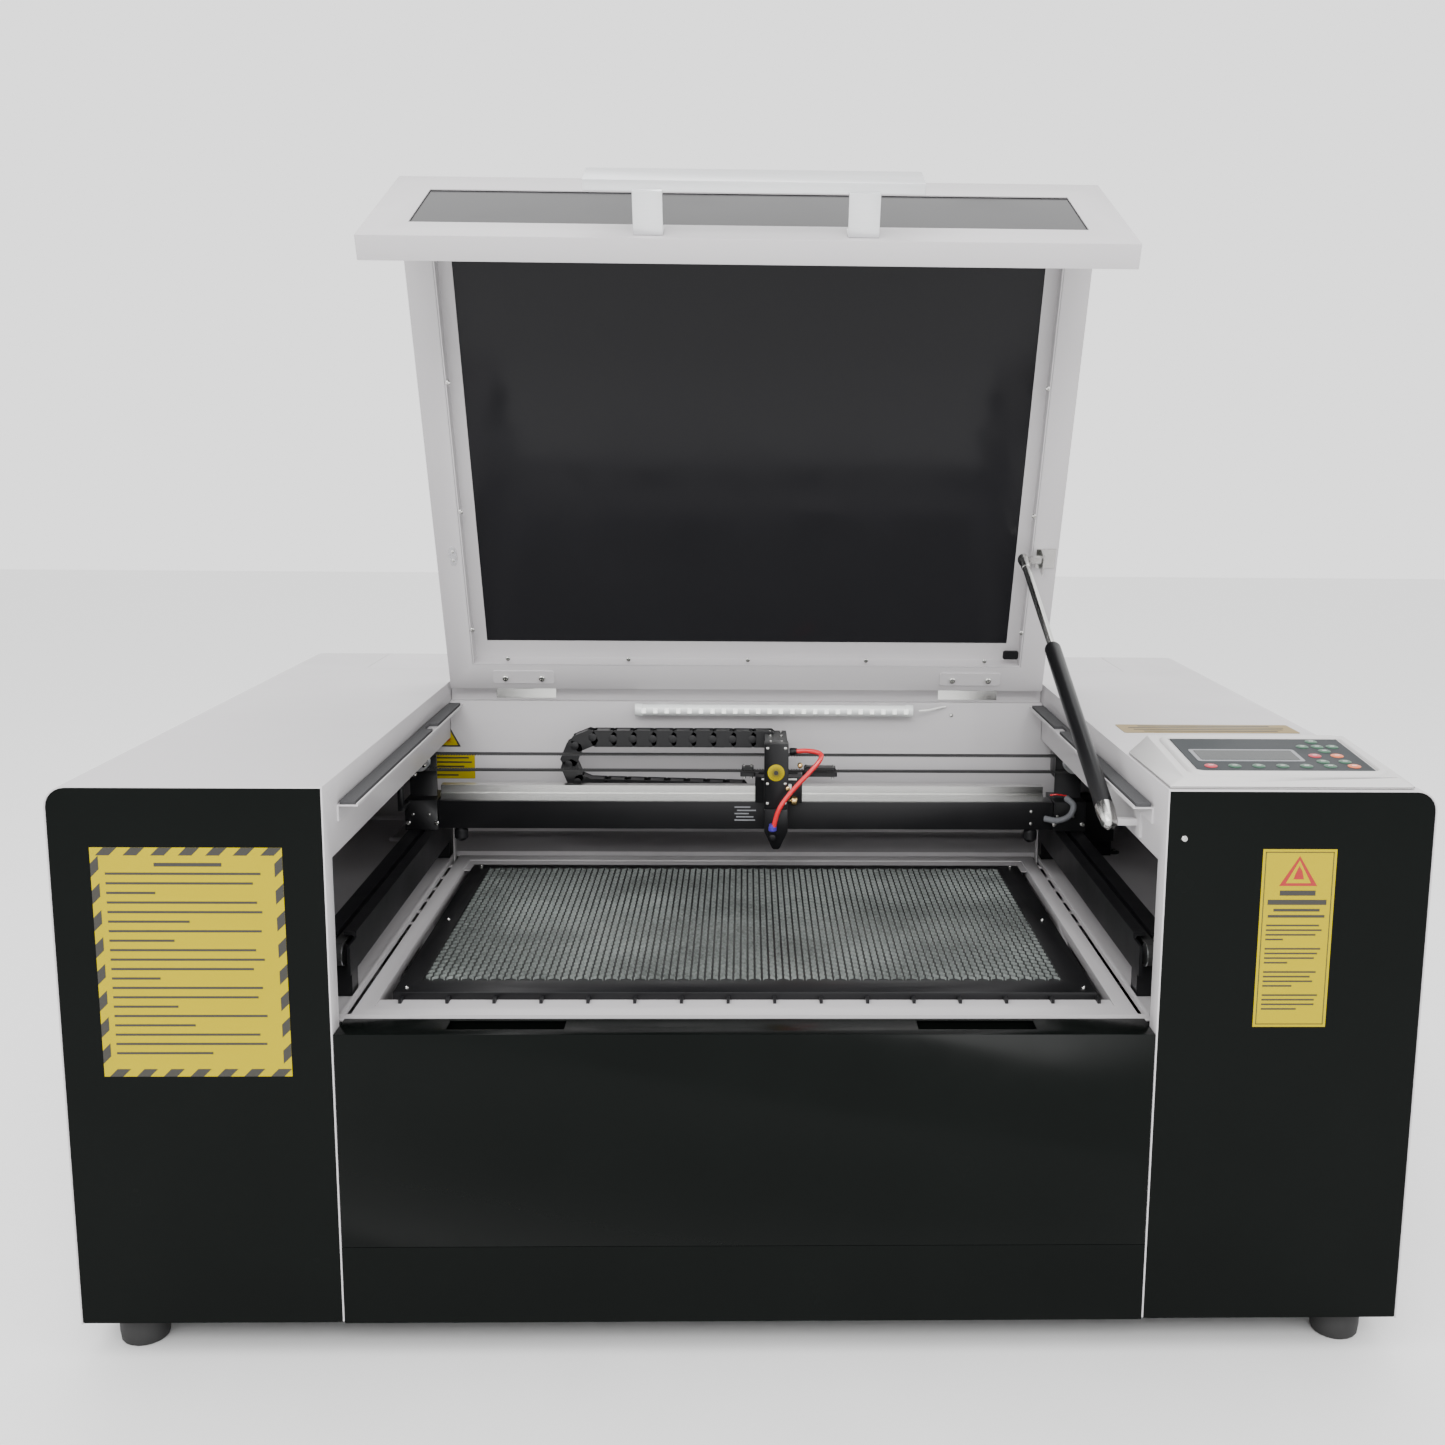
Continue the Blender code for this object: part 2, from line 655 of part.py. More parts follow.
def tube_cover():
    place = (0.0, DEPTH - SHEET - 2.0, TOP + 0.5)
    parent = axis_empty("tube_cover_axis", place)
    x = COVER_HALF - GAP
    front, back = COVER_FRONT + GAP, DEPTH - SHEET - GAP
    flange = BAY - 2.0
    adds = [
        (-x, x, front, back, TOP - SHEET, TOP),
        (-flange, flange, front, front + SHEET, TOP - 11.0, TOP),
    ]
    finish("tube_cover", bricks(adds), WHITE, parent)


def lid_shell(parent):
    """The lid's tray and front apron, with the knuckles that swing on the hinge pins."""
    x = LID_HALF
    under, foot, deep = LID_UNDER, LID_LOW, LID_DEEP
    adds = [
        (-x, x, 0.0, LID_LENGTH, TOP - SHEET, TOP),
        (-x, x, LID_LENGTH - SHEET, LID_LENGTH, under, TOP),
        (-x, x, deep - SHEET, LID_LENGTH, under, under + SHEET),
        (-x, x, 0.0, SHEET, foot, TOP),
        (-x, x, 0.0, deep, foot, foot + SHEET),
        (-x, x, deep - SHEET, deep, foot, under + SHEET),
    ]
    adds += mirrored([
        (x - SHEET, x, 0.0, LID_LENGTH, under, TOP),
        (x - SHEET, x, 0.0, deep, foot, TOP),
    ])
    cuts = [
        (-337.0, 337.0, 83.0, 582.0, TOP - 5, TOP + 5),
        (-355.0, 355.0, 60.0, 608.0, under - 5, under + 5),
        (-343.0, 343.0, -5.0, 10.0, 366.0, 498.0),
        (-362.0, 362.0, 15.0, 30.0, 340.0, 516.0),
    ]
    shell = finish("lid_shell", bricks(adds, cuts), WHITE, parent)
    y, z = LID_AXIS[1], LID_AXIS[2]
    for side in (-1, 1):
        low, high = sorted((side * 278.5, side * 305.5))
        weld(shell, bricks([(low, high, LID_LENGTH - 0.5, y - 0.9, 531.0, z)]))
        weld(shell, bar((low, y, z), (high, y, z), HINGE_R, 12))


def lid_glazing(parent):
    high = TOP - SHEET - GAP
    pane = (-348.0, 348.0, 72.0, 594.0, high - 3.0, high)
    finish("lid_window", bricks([pane]), ACRYLIC, parent)
    low = high - 3.0 - GAP
    adds = [(-354.5, 354.5, 64.0, 607.5, LID_UNDER, low)]
    cuts = [
        (-337.0, 337.0, 82.0, 582.0, 500.0, TOP),
        (-353.0, 353.0, 65.5, 606.0, 500.0, low - SHEET),
    ]
    finish("lid_retainer", bricks(adds, cuts), WHITE, parent)
    pane = (-352.0, 352.0, SHEET + GAP, SHEET + GAP + 3.0, 356.0, 508.0)
    finish("lid_front_window", bricks([pane]), ACRYLIC, parent)


def lid_handle(parent):
    """A flat bar in front of the apron, on two folded strips."""
    adds = [(-164.0, 171.0, -52.0, -41.0, 331.0, 379.0)]
    for low, high in ((-115.5, -86.0), (96.0, 127.0)):
        adds.append((low, high, -2.3, -GAP, 325.0, 352.0))
        adds.append((low, high, -43.0, -GAP, 325.0, 327.0))
        adds.append((low, high, -43.0, -39.0, 325.0, 352.0))
    finish("lid_handle", bricks(adds), ALUMINIUM, parent)


def strut_lid_bracket(parent):
    """A folded plate under the lid's border, with the stud that faces the strut's socket."""
    x, y, z = STRUT_HEAD_CLOSED
    under = LID_UNDER - GAP
    adds = [
        (359.0, 383.0, y - 8, y + 18, under - 2.0, under),
        (364.0, 366.0, y - 8, y + 18, z - 9.0, under),
        (x + 8.5, 365.0, y - 3.5, y + 3.5, z - 3.5, z + 3.5),
    ]
    finish("strut_lid_bracket", bricks(adds), STEEL, parent)


def lid_group():
    parent = axis_empty("lid_axis", LID_AXIS)
    lid_shell(parent)
    lid_glazing(parent)
    lid_handle(parent)
    strut_lid_bracket(parent)
    parent.rotation_euler = (math.radians(-LID_OPEN), 0.0, 0.0)


def swung_open(place):
    """Where a point drawn on the closed lid stands once the lid is open."""
    axis = Vector(LID_AXIS)
    turn = Matrix.Rotation(math.radians(-LID_OPEN), 3, "X")
    return axis + turn @ (Vector(place) - axis)


def gas_strut():
    """The cylinder swings on its foot, and the rod slides in its bore."""
    foot = Vector(STRUT_FOOT)
    head = swung_open(STRUT_HEAD_CLOSED)
    length = (head - foot).length
    parent = axis_empty("strut_axis", foot)
    barrel = [(3.5, -6.6), (6.3, -4.2), (7.5, 0), (6.3, 4.2), (5, 6.5), (5, 20), (9, 22),
              (9.5, 24), (9.5, 294), (8, 298), (5.2, 298), (5.2, STRUT_BLIND)]
    finish("strut_cylinder", turned(foot, head, barrel, 20), ANODISED, parent)
    rod = [(4.8, length - STRUT_ROD), (4.8, length - 20), (5.4, length - 18), (5.4, length - 6.5),
           (6.3, length - 4.2), (7.5, length), (6.3, length + 4.2), (3.5, length + 6.6)]
    finish("strut_rod", turned(foot, head, rod, 16), STEEL, parent)


def front_door():
    """The drop-down door under the lid, with a top ledge and two finger slots."""
    parent = axis_empty("front_door_axis", (0.0, 0.0, DOOR_LOW - 0.2))
    x = BAY - 0.7
    adds = [
        (-x, x, 0.0, SHEET, DOOR_LOW, DOOR_TOP),
        (-x, x, 0.0, 20.0, DOOR_LOW, DOOR_LOW + SHEET),
        (-x, x, 0.0, 43.0, DOOR_TOP - SHEET, DOOR_TOP),
        (-x, x, 43.0 - SHEET, 43.0, DOOR_TOP - 12.0, DOOR_TOP),
    ]
    adds += mirrored([(x - SHEET, x, 0.0, 20.0, DOOR_LOW, DOOR_TOP)])
    slots = [(-287.0, -175.0, 14.0, 38.0, 300.0, 320.0), (165.0, 279.0, 14.0, 38.0, 300.0, 320.0)]
    finish("front_door", bricks(adds, slots), BLACK, parent)


# ---------------------------------------------------------------- motion system

def gantry_group():
    parent = axis_empty("gantry_axis", (0.0, BEAM_Y, BEAM_LOW))
    beam = [(-BEAM_END, BEAM_END, BEAM_Y, BEAM_Y + 32, BEAM_LOW, BEAM_HIGH),
            (-BEAM_END, BEAM_END, BEAM_Y + 32, BEAM_Y + 62, 402.0, 404.0)]
    finish("gantry_beam", bricks(beam), ANODISED, parent)
    low = BEAM_HIGH + GAP
    rail = [(-387.0, 377.0, BEAM_Y + 3, BEAM_Y + 23, low, low + 9),
            (-387.0, 377.0, BEAM_Y + 6, BEAM_Y + 20, low + 9, low + 19)]
    finish("x_rail", bricks(rail), STEEL, parent)
    gantry_ends(parent)
    x_drive(parent)
    cable_chain(parent)


def gantry_ends(parent):
    """The end carriages: each rides on a Y rail, grips its belt and holds an X pulley."""
    inner = BEAM_END + GAP
    block = (inner, 431.0, 528.0, 588.0, RAIL_HIGH + 0.6, 419.0)
    tongue = (407.0, 410.0, 532.0, 584.0, Y_BELT_Z + PULLEY_R + 2.4, RAIL_HIGH + 2)
    post = (395.0, 429.0, X_BELT_Y + 11.6, X_BELT_Y + 16.0, 417.0, 479.0)
    right = [block, tongue, post]
    finish("gantry_right_end", bricks(right), ANODISED, parent)
    left = [handed(-1, box) for box in right]
    left.append((MIRROR_X - 9, MIRROR_X - 1, 498.0, 532.0, 412.0, 418.0))
    left.append((MIRROR_X - 9, MIRROR_X - 3, 498.0, 506.0, 412.0, LIGHT_Z))
    item = finish("gantry_left_end", bricks(left), ANODISED, parent)
    weld(item, mirror_disc(HEAD_Y))


def x_drive(parent):
    """X motor behind the right pulley, and the toothed belt loop."""
    y = X_BELT_Y
    motor = (X_MOTOR_X - 21, X_MOTOR_X + 21, y + 16.3, y + 46, X_BELT_Z - 21, X_BELT_Z + 21)
    finish("x_motor", bricks([motor]), PLASTIC, parent)
    outer = stadium(X_IDLER_X, X_MOTOR_X, X_BELT_Z, PULLEY_R + 1.8)
    inner = stadium(X_IDLER_X, X_MOTOR_X, X_BELT_Z, PULLEY_R + GAP)
    finish("x_belt", hoop(outer, inner, "XZ", y, y + 10), RUBBER, parent)


def pulley(place, direction):
    """A flanged belt pulley whose belt track is 10 wide."""
    rim = PULLEY_R + 2.3
    profile = [(rim, -1.2), (rim, -0.3), (PULLEY_R, -0.3), (PULLEY_R, 10.3), (rim, 10.3), (rim, 11.2)]
    start = Vector(place)
    return turned(start, start + Vector(direction), profile, 20)


def x_pulleys():
    for name, x in (("x_idler_pulley", X_IDLER_X), ("x_drive_pulley", X_MOTOR_X)):
        place = (x, X_BELT_Y, X_BELT_Z)
        parent = axis_empty(name + "_axis", place)
        finish(name, pulley(place, (0, 1, 0)), ALUMINIUM, parent)


def y_drive():
    """The cross shaft with a pulley near each end, and the two idlers at the front."""
    parent = axis_empty("y_drive_shaft_axis", (0.0, Y_SHAFT_Y, Y_BELT_Z))
    rim = PULLEY_R + 2.3
    half = []
    for x in (401.8, 402.7, 413.3, 414.2):
        radii = {401.8: (4, rim), 402.7: (rim, PULLEY_R), 413.3: (PULLEY_R, rim), 414.2: (rim, 4)}[x]
        half += [(radii[0], x), (radii[1], x)]
    half.append((4, 446.0))
    reach = 446.0
    line = [(r, reach - x) for r, x in reversed(half)] + [(r, reach + x) for r, x in half]
    start = (-reach, Y_SHAFT_Y, Y_BELT_Z)
    finish("y_drive_shaft", turned(start, (0, Y_SHAFT_Y, Y_BELT_Z), line, 16), STEEL, parent)
    for name, x in (("y_idler_left", -413.0), ("y_idler_right", 403.0)):
        parent = axis_empty(name + "_axis", (x + 5, Y_IDLER_Y, Y_BELT_Z))
        finish(name, pulley((x, Y_IDLER_Y, Y_BELT_Z), (1, 0, 0)), ALUMINIUM, parent)


def cable_chain(parent):
    """The cable chain as one solid: lower run, end bend and upper run."""
    low, high, tall = 405.0, 503.0, 23.5
    centre = (CHAIN_BEND, (low + high) / 2)
    radius = (high - low) / 2
    tail, tip = -3.0, HEAD_X - 14.3
    outline = [(tail, low)] + arc(centre, radius, 270, 90, 10) + [(tip, high), (tip, high - tall)]
    outline += arc(centre, radius - tall, 90, 270, 10) + [(tail, low + tall)]
    back = BEAM_Y + 58
    finish("cable_chain", extruded(outline, "XZ", BEAM_Y + 36, back), PLASTIC, parent)


# ---------------------------------------------------------------- carriage

def carriage_group():
    """The block on the X rail with its belt clamp, and the laser head bolted to it."""
    parent = axis_empty("carriage_axis", (HEAD_X, BEAM_Y, X_BELT_Z))
    low = BEAM_HIGH + GAP
    front = BEAM_Y + 2.7
    adds = [
        (10.0, 69.0, 518.0, front, 419.4, 453.0),
        (10.0, 69.0, 518.0, BEAM_Y + 30, low + 19.3, 451.0),
        (10.0, 69.0, BEAM_Y + 23.6, BEAM_Y + 30, low + 2, 451.0),
        (21.0, 51.0, 495.0, 518.5, 417.0, 499.0),
        (HEAD_X - 14, HEAD_X + 14, 495.0, BEAM_Y + 58, 496.0, 499.0),
        (HEAD_X - 14, HEAD_X + 14, BEAM_Y + 36, BEAM_Y + 58, 480.0, 499.0),
    ]
    well = (HEAD_X - 11.0, HEAD_X + 11.0, HEAD_Y - 8.0, HEAD_Y + 8.0, 410.0, 458.0)
    port = (15.0, 40.0, HEAD_Y - 5.0, HEAD_Y + 5.0, LIGHT_Z - 5.0, LIGHT_Z + 5.0)
    item = finish("laser_head", bricks(adds, [well, port]), ANODISED, parent)
    weld(item, bricks([(14.0, 64.0, 540.0, 554.0, 450.0, X_BELT_Z - PULLEY_R - 2.1)]))


def smooth_route(knots, count):
    """Points on a smooth curve through the knots (Catmull-Rom)."""
    line = []
    spans = len(knots) - 1
    padded = [knots[0] * 2 - knots[1]] + list(knots) + [knots[-1] * 2 - knots[-2]]
    for n in range(count):
        at = spans * n / (count - 1)
        i = min(int(at), spans - 1)
        t = at - i
        a, b, c, d = padded[i:i + 4]
        line.append(0.5 * (b * 2 + (c - a) * t + (a * 2 - b * 5 + c * 4 - d) * t * t
                           + (b * 3 - a - c * 3 + d) * t * t * t))
    return line


def air_hose():
    """A loop from the head's right side across its front and down to the nozzle's fitting."""
    parent = axis_empty("air_hose_axis", (HEAD_X, BEAM_Y, X_BELT_Z))
    knots = [(54.5, 510, 487), (63, 508, 488), (76, 502, 489.5), (90, 492, 488), (89, 484, 481),
             (77, 481, 467), (63, 480.5, 452), (51, 480, 438), (42, 480, 425), (37, 481, 414),
             (33.5, 483, 400), (31.5, 485, 392)]
    curve = bpy.data.curves.new("air_hose", "CURVE")
    curve.dimensions = "3D"
    curve.bevel_depth = 3.2 * UNIT
    curve.bevel_resolution = 2
    curve.use_fill_caps = True
    spline = curve.splines.new("POLY")
    route = smooth_route([Vector(k) for k in knots], 36)
    spline.points.add(len(route) - 1)
    for spot, place in zip(spline.points, route):
        spot.co = (*(to_world(place) - parent.location), 1.0)
    curve.materials.append(HOSE_RED)
    hose = bpy.data.objects.new("air_hose", curve)
    bpy.context.collection.objects.link(hose)
    hose.parent = parent


def lens_tube():
    """The sliding nozzle body: a shank in the head's well, a square body and a tapered tip."""
    parent = axis_empty("lens_tube_axis", (HEAD_X, HEAD_Y, 416.0))
    levels = [(10.4, 7.4, 444.0), (10.4, 7.4, 416.4), (14.6, 11.0, 416.4), (14.6, 11.0, 388.0),
              (5.0, 5.0, 365.5), (3.0, 3.0, 363.0)]
    shape = bmesh.new()
    rings = []
    for half_x, half_y, z in levels:
        spots = ((-half_x, -half_y), (half_x, -half_y), (half_x, half_y), (-half_x, half_y))
        rings.append([shape.verts.new((HEAD_X + a, HEAD_Y + b, z)) for a, b in spots])
    shape.faces.new(rings[0])
    shape.faces.new(list(reversed(rings[-1])))
    for near, far in zip(rings, rings[1:]):
        for n in range(4):
            m = (n + 1) % 4
            shape.faces.new((near[m], near[n], far[n], far[m]))
    item = finish("lens_tube", shape, ANODISED, parent)
    weld(item, bar((31.5, HEAD_Y - 8, 383.0), (31.5, HEAD_Y - 24.0, 383.0), 4.0, 12))


def thumb_screw():
    """The brass screw on the head's right side that locks the sliding nozzle."""
    place = (51.3, HEAD_Y, 425.0)
    parent = axis_empty("thumb_screw_axis", place)
    profile = [(2.0, 0), (2.0, 3), (5.5, 3.4), (6.0, 4.4), (6.0, 10.0), (5.4, 11.0)]
    end = (71.0, HEAD_Y, 425.0)
    finish("thumb_screw", turned(place, end, profile, 16), BRASS, parent)


# ---------------------------------------------------------------- work table

def table_group():
    """The lift table: rim with ears under the bed, crossed slats and a honeycomb panel."""
    parent = axis_empty("table_axis", (0.0, 360.0, 300.0))
    x = TABLE_HALF
    adds = [(-x, x, TABLE_FRONT, TABLE_BACK, 300.0, DECK_TOP)]
    adds += mirrored([
        (x - 20, x - 16, 330.0, 390.0, 226.0, 300.0),
        (x - 20, 420.0, 330.0, 390.0, 226.0, 230.0),
    ])
    hole = (-x + TABLE_RIM, x - TABLE_RIM, TABLE_FRONT + 30, TABLE_BACK - 24, 295.0, 320.0)
    bore = (SCREW_X - 6, SCREW_X + 6, SCREW_Y - 6, SCREW_Y + 6, 220.0, 240.0)
    finish("table_frame", bricks(adds, [hole] + mirrored([bore])), WHITE, parent)
    front, back = TABLE_FRONT + 30.3, TABLE_BACK - 24.3
    slats = [(-x + TABLE_RIM + GAP, x - TABLE_RIM - GAP, front, front + 3, 288.0, 300.0),
             (-x + TABLE_RIM + GAP, x - TABLE_RIM - GAP, back - 3, back, 288.0, 300.0)]
    for n in range(SLATS):
        at = SLAT_FIRST + SLAT_PITCH * n
        slats.append((at - 1, at + 1, front, back, 288.0, 308.5))
    finish("knife_slats", bricks(slats), ALUMINIUM, parent)
    comb = [(-COMB_HALF, COMB_HALF, COMB_FRONT, COMB_BACK, 309.0, 318.0)]
    mesh = (-335.0, 329.0, COMB_FRONT + 37, COMB_BACK - 18, 316.5, 320.0)
    finish("honeycomb_panel", bricks(comb, [mesh]), ANODISED, parent)


def lift_screws():
    for name, x in (("lift_screw_left", -SCREW_X), ("lift_screw_right", SCREW_X)):
        place = (x, SCREW_Y, UNDERSIDE + SHEET + GAP)
        parent = axis_empty(name + "_axis", place)
        profile = [(8.5, 0), (8.5, 14), (5, 14), (5, 286)]
        finish(name, turned(place, (x, SCREW_Y, 300.0), profile, 16), STEEL, parent)


# ---------------------------------------------------------------- assembly

def build():
    clear_scene()
    base_pan()
    cabinet_shell("left_cabinet_shell", -1)
    cabinet_shell("right_cabinet_shell", 1)
    front_panel("left_front_panel", -1)
    front_panel("right_front_panel", 1)
    front_plinth()
    rear_panel()
    rear_top_panel()
    work_deck()
    feet()
    work_lamp()
    fixed_hinge_leaves()
    y_rails()
    y_belts()
    y_motor()
    laser_tube()
    tube_cradle()
    mirror_1_mount()
    laser_power_supply()
    exhaust_collar()
    power_inlet()
    control_housing()
    keypad()
    tube_cover()
    lid_group()
    gas_strut()
    front_door()
    gantry_group()
    x_pulleys()
    y_drive()
    carriage_group()
    air_hose()
    lens_tube()
    thumb_screw()
    table_group()
    lift_screws()


build()
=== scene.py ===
"""Looks of a desktop laser cutter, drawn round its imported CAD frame.

Lengths are drawing units of 0.9 mm, the same as in the CAD: x to the right, y backwards from the
front face, z upwards from a datum 18 units over the floor. Pieces on the lid are drawn with the
lid closed and turned to where it rests, open.
"""
import json
import math

import bpy
from mathutils import Matrix, Vector


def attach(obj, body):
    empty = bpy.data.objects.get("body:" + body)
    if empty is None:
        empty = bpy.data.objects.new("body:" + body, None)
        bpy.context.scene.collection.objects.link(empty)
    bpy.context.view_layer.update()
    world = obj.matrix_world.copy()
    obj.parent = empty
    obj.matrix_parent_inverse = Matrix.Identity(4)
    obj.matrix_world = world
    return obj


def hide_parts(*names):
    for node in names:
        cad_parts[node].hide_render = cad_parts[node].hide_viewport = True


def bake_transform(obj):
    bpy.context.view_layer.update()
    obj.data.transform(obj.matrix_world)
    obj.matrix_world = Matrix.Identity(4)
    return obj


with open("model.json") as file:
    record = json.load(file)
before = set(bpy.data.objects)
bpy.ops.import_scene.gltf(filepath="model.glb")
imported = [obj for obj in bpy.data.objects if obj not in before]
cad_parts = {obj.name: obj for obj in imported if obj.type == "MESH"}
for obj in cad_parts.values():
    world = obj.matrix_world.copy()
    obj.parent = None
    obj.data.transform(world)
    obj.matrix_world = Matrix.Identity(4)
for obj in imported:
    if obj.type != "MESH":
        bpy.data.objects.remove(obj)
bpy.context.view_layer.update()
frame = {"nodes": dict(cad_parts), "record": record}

UNIT = 0.0009
MIDDLE_Y = 482.5
DATUM = 18.0
LID_AXIS = (645.6, 554.5)
LID_OPEN = math.radians(68.0)


# ---------------------------------------------------------------- places

def at(x, y, z):
    """A drawing point in metres."""
    return Vector((x * UNIT, (y - MIDDLE_Y) * UNIT, (z + DATUM) * UNIT))


def on_lid(x, y, z):
    """A point drawn on the closed lid, where it is with the lid open."""
    dy, dz = y - LID_AXIS[0], z - LID_AXIS[1]
    c, s = math.cos(LID_OPEN), math.sin(LID_OPEN)
    return at(x, LID_AXIS[0] + dy * c + dz * s, LID_AXIS[1] - dy * s + dz * c)


def on_panel(x, y, h):
    """A point h above the sloping top of the control housing."""
    return at(x, y, 561.7 + (y - 10.0) * 0.0917 + h)


# ---------------------------------------------------------------- materials

def surface(name, colour, rough=0.4, metal=0.0, vary=0.06, grain=900.0, bump=0.08, depth=0.0002,
            coat=0.0, stretch=(1, 1, 1), patches=9.0, rough_vary=0.08, dust=0.0, specular=0.5):
    """A procedural finish: fine grain in the bump, slow patches in colour and roughness."""
    mat = bpy.data.materials.new(name)
    mat.use_nodes = True
    nodes, links = mat.node_tree.nodes, mat.node_tree.links
    shader = nodes["Principled BSDF"]
    shader.inputs["Metallic"].default_value = metal
    shader.inputs["Coat Weight"].default_value = coat
    shader.inputs["Coat Roughness"].default_value = 0.08
    shader.inputs["Specular IOR Level"].default_value = specular
    where = nodes.new("ShaderNodeTexCoord")
    scaled = nodes.new("ShaderNodeMapping")
    scaled.inputs["Scale"].default_value = stretch
    links.new(where.outputs["Object"], scaled.inputs["Vector"])
    fine = nodes.new("ShaderNodeTexNoise")
    fine.inputs["Scale"].default_value = grain
    fine.inputs["Detail"].default_value = 3.0
    slow = nodes.new("ShaderNodeTexNoise")
    slow.inputs["Scale"].default_value = patches
    slow.inputs["Detail"].default_value = 5.0
    for noise in (fine, slow):
        links.new(scaled.outputs["Vector"], noise.inputs["Vector"])
    both = nodes.new("ShaderNodeMath")
    both.operation = "MULTIPLY_ADD"
    both.inputs[1].default_value = 0.45
    links.new(fine.outputs["Fac"], both.inputs[0])
    half = nodes.new("ShaderNodeMath")
    half.operation = "MULTIPLY"
    half.inputs[1].default_value = 0.55
    links.new(slow.outputs["Fac"], half.inputs[0])
    links.new(half.outputs[0], both.inputs[2])
    ramp = nodes.new("ShaderNodeValToRGB")
    low, high = ramp.color_ramp.elements
    low.position, high.position = 0.3, 0.7
    low.color = tuple(max(0.0, c * (1 - vary) + dust * 0.3) for c in colour) + (1,)
    high.color = tuple(min(1.0, c * (1 + vary) + dust) for c in colour) + (1,)
    links.new(both.outputs[0], ramp.inputs["Fac"])
    links.new(ramp.outputs["Color"], shader.inputs["Base Color"])
    spread = nodes.new("ShaderNodeMapRange")
    spread.inputs["From Min"].default_value = 0.3
    spread.inputs["From Max"].default_value = 0.7
    spread.inputs["To Min"].default_value = max(0.02, rough - rough_vary)
    spread.inputs["To Max"].default_value = min(1.0, rough + rough_vary)
    links.new(slow.outputs["Fac"], spread.inputs["Value"])
    links.new(spread.outputs["Result"], shader.inputs["Roughness"])
    raised = nodes.new("ShaderNodeBump")
    raised.inputs["Strength"].default_value = bump
    raised.inputs["Distance"].default_value = depth
    links.new(fine.outputs["Fac"], raised.inputs["Height"])
    links.new(raised.outputs["Normal"], shader.inputs["Normal"])
    return mat


def glowing(mat, colour, strength):
    shader = mat.node_tree.nodes["Principled BSDF"]
    shader.inputs["Emission Color"].default_value = (*colour, 1)
    shader.inputs["Emission Strength"].default_value = strength
    return mat


WHITE = surface("powder_white", (0.48, 0.465, 0.475), 0.42, vary=0.02, grain=1300, bump=0.12,
                coat=0.12)
GLOSS = surface("gloss_black", (0.0028, 0.0036, 0.0032), 0.2, vary=0.12, grain=700, bump=0.05,
                specular=0.06)
ANODISED = surface("black_anodised", (0.008, 0.008, 0.009), 0.36, 0.3, 0.16, 2200, 0.1, dust=0.003,
                   specular=0.3)
STEEL = surface("ground_steel", (0.6, 0.6, 0.58), 0.2, 1.0, 0.08, 500, 0.1, stretch=(0.15, 1, 6))
ALUMINIUM = surface("satin_aluminium", (0.73, 0.74, 0.75), 0.32, 1.0, 0.06, 700, 0.12,
                    stretch=(0.1, 1, 3))
ACRYLIC = surface("tinted_acrylic", (0.013, 0.013, 0.0145), 0.14, vary=0.05, grain=300, bump=0.01,
                  specular=0.13)
RUBBER = surface("matt_rubber", (0.009, 0.009, 0.009), 0.72, vary=0.2, grain=1500, bump=0.2, dust=0.006)
FOAM = surface("seal_foam", (0.05, 0.05, 0.053), 0.9, vary=0.25, grain=1800, bump=0.5, depth=0.0005)
BLACK_PLASTIC = surface("black_plastic", (0.008, 0.008, 0.009), 0.42, vary=0.18, grain=1600,
                        bump=0.15, specular=0.35)
WHITE_PLASTIC = surface("white_plastic", (0.52, 0.51, 0.505), 0.38, vary=0.02, grain=1600, bump=0.12)
FILM = surface("keypad_film", (0.024, 0.028, 0.031), 0.5, vary=0.1, grain=2500, bump=0.12,
               specular=0.12)
LAMP = surface("lamp_tube", (0.75, 0.77, 0.76), 0.25, vary=0.05, grain=500, bump=0.03, coat=0.4)
GLASS = surface("laser_glass", (0.55, 0.6, 0.63), 0.08, vary=0.05, grain=400, bump=0.01, coat=0.5)
HOSE = surface("hose_red", (0.72, 0.02, 0.03), 0.22, vary=0.06, grain=600, bump=0.03, coat=0.5)
BRASS = surface("brass", (0.66, 0.46, 0.2), 0.26, 1.0, 0.08, 900, 0.1)
YELLOW = surface("label_yellow", (0.38, 0.3, 0.0), 0.55, specular=0.1, vary=0.04, grain=1200,
                 bump=0.04)
INK = surface("label_ink", (0.02, 0.018, 0.012), 0.5, vary=0.2, grain=1500, bump=0.04)
GOLD = surface("label_gold", (0.2, 0.125, 0.002), 0.42, 0.2, 0.08, 1000, 0.06)
RED = surface("label_red", (0.3, 0.006, 0.003), 0.42, vary=0.06, grain=1200, bump=0.04)
PAPER = surface("paper_white", (0.74, 0.74, 0.72), 0.5, vary=0.04, grain=1400, bump=0.05)
SCREEN = surface("lcd_glass", (0.02, 0.024, 0.024), 0.2, vary=0.15, grain=2500, bump=0.02,
                 specular=0.15)
KEY_GREEN = surface("key_green", (0.01, 0.075, 0.035), 0.35, vary=0.1, grain=1500, bump=0.06)
KEY_RED = surface("key_red", (0.4, 0.012, 0.03), 0.35, vary=0.1, grain=1500, bump=0.06)
KEY_ORANGE = surface("key_orange", (0.6, 0.12, 0.03), 0.35, vary=0.1, grain=1500, bump=0.06)
GREY = surface("grey_conduit", (0.2, 0.205, 0.22), 0.45, vary=0.1, grain=1400, bump=0.08)
BLUE = surface("fitting_blue", (0.05, 0.03, 0.3), 0.35, vary=0.1, grain=1200, bump=0.05)
BELT = surface("belt_rubber", (0.02, 0.02, 0.021), 0.6, vary=0.2, grain=1500, bump=0.15, dust=0.01)
# The foil's colour varies at random, partly as a real tone and partly as painted glints: the spread is
# strong (vary 0.55) so its bright specks stand in for the sparkle highlights along the foil.
MESH = surface("honeycomb_foil", (0.32, 0.35, 0.335), 0.36, 0.6, 0.55, 330, 0.4)
LED = glowing(surface("led_dot", (0.9, 0.92, 0.9), 0.3, vary=0.03, bump=0.02), (1, 1, 0.95), 0.6)

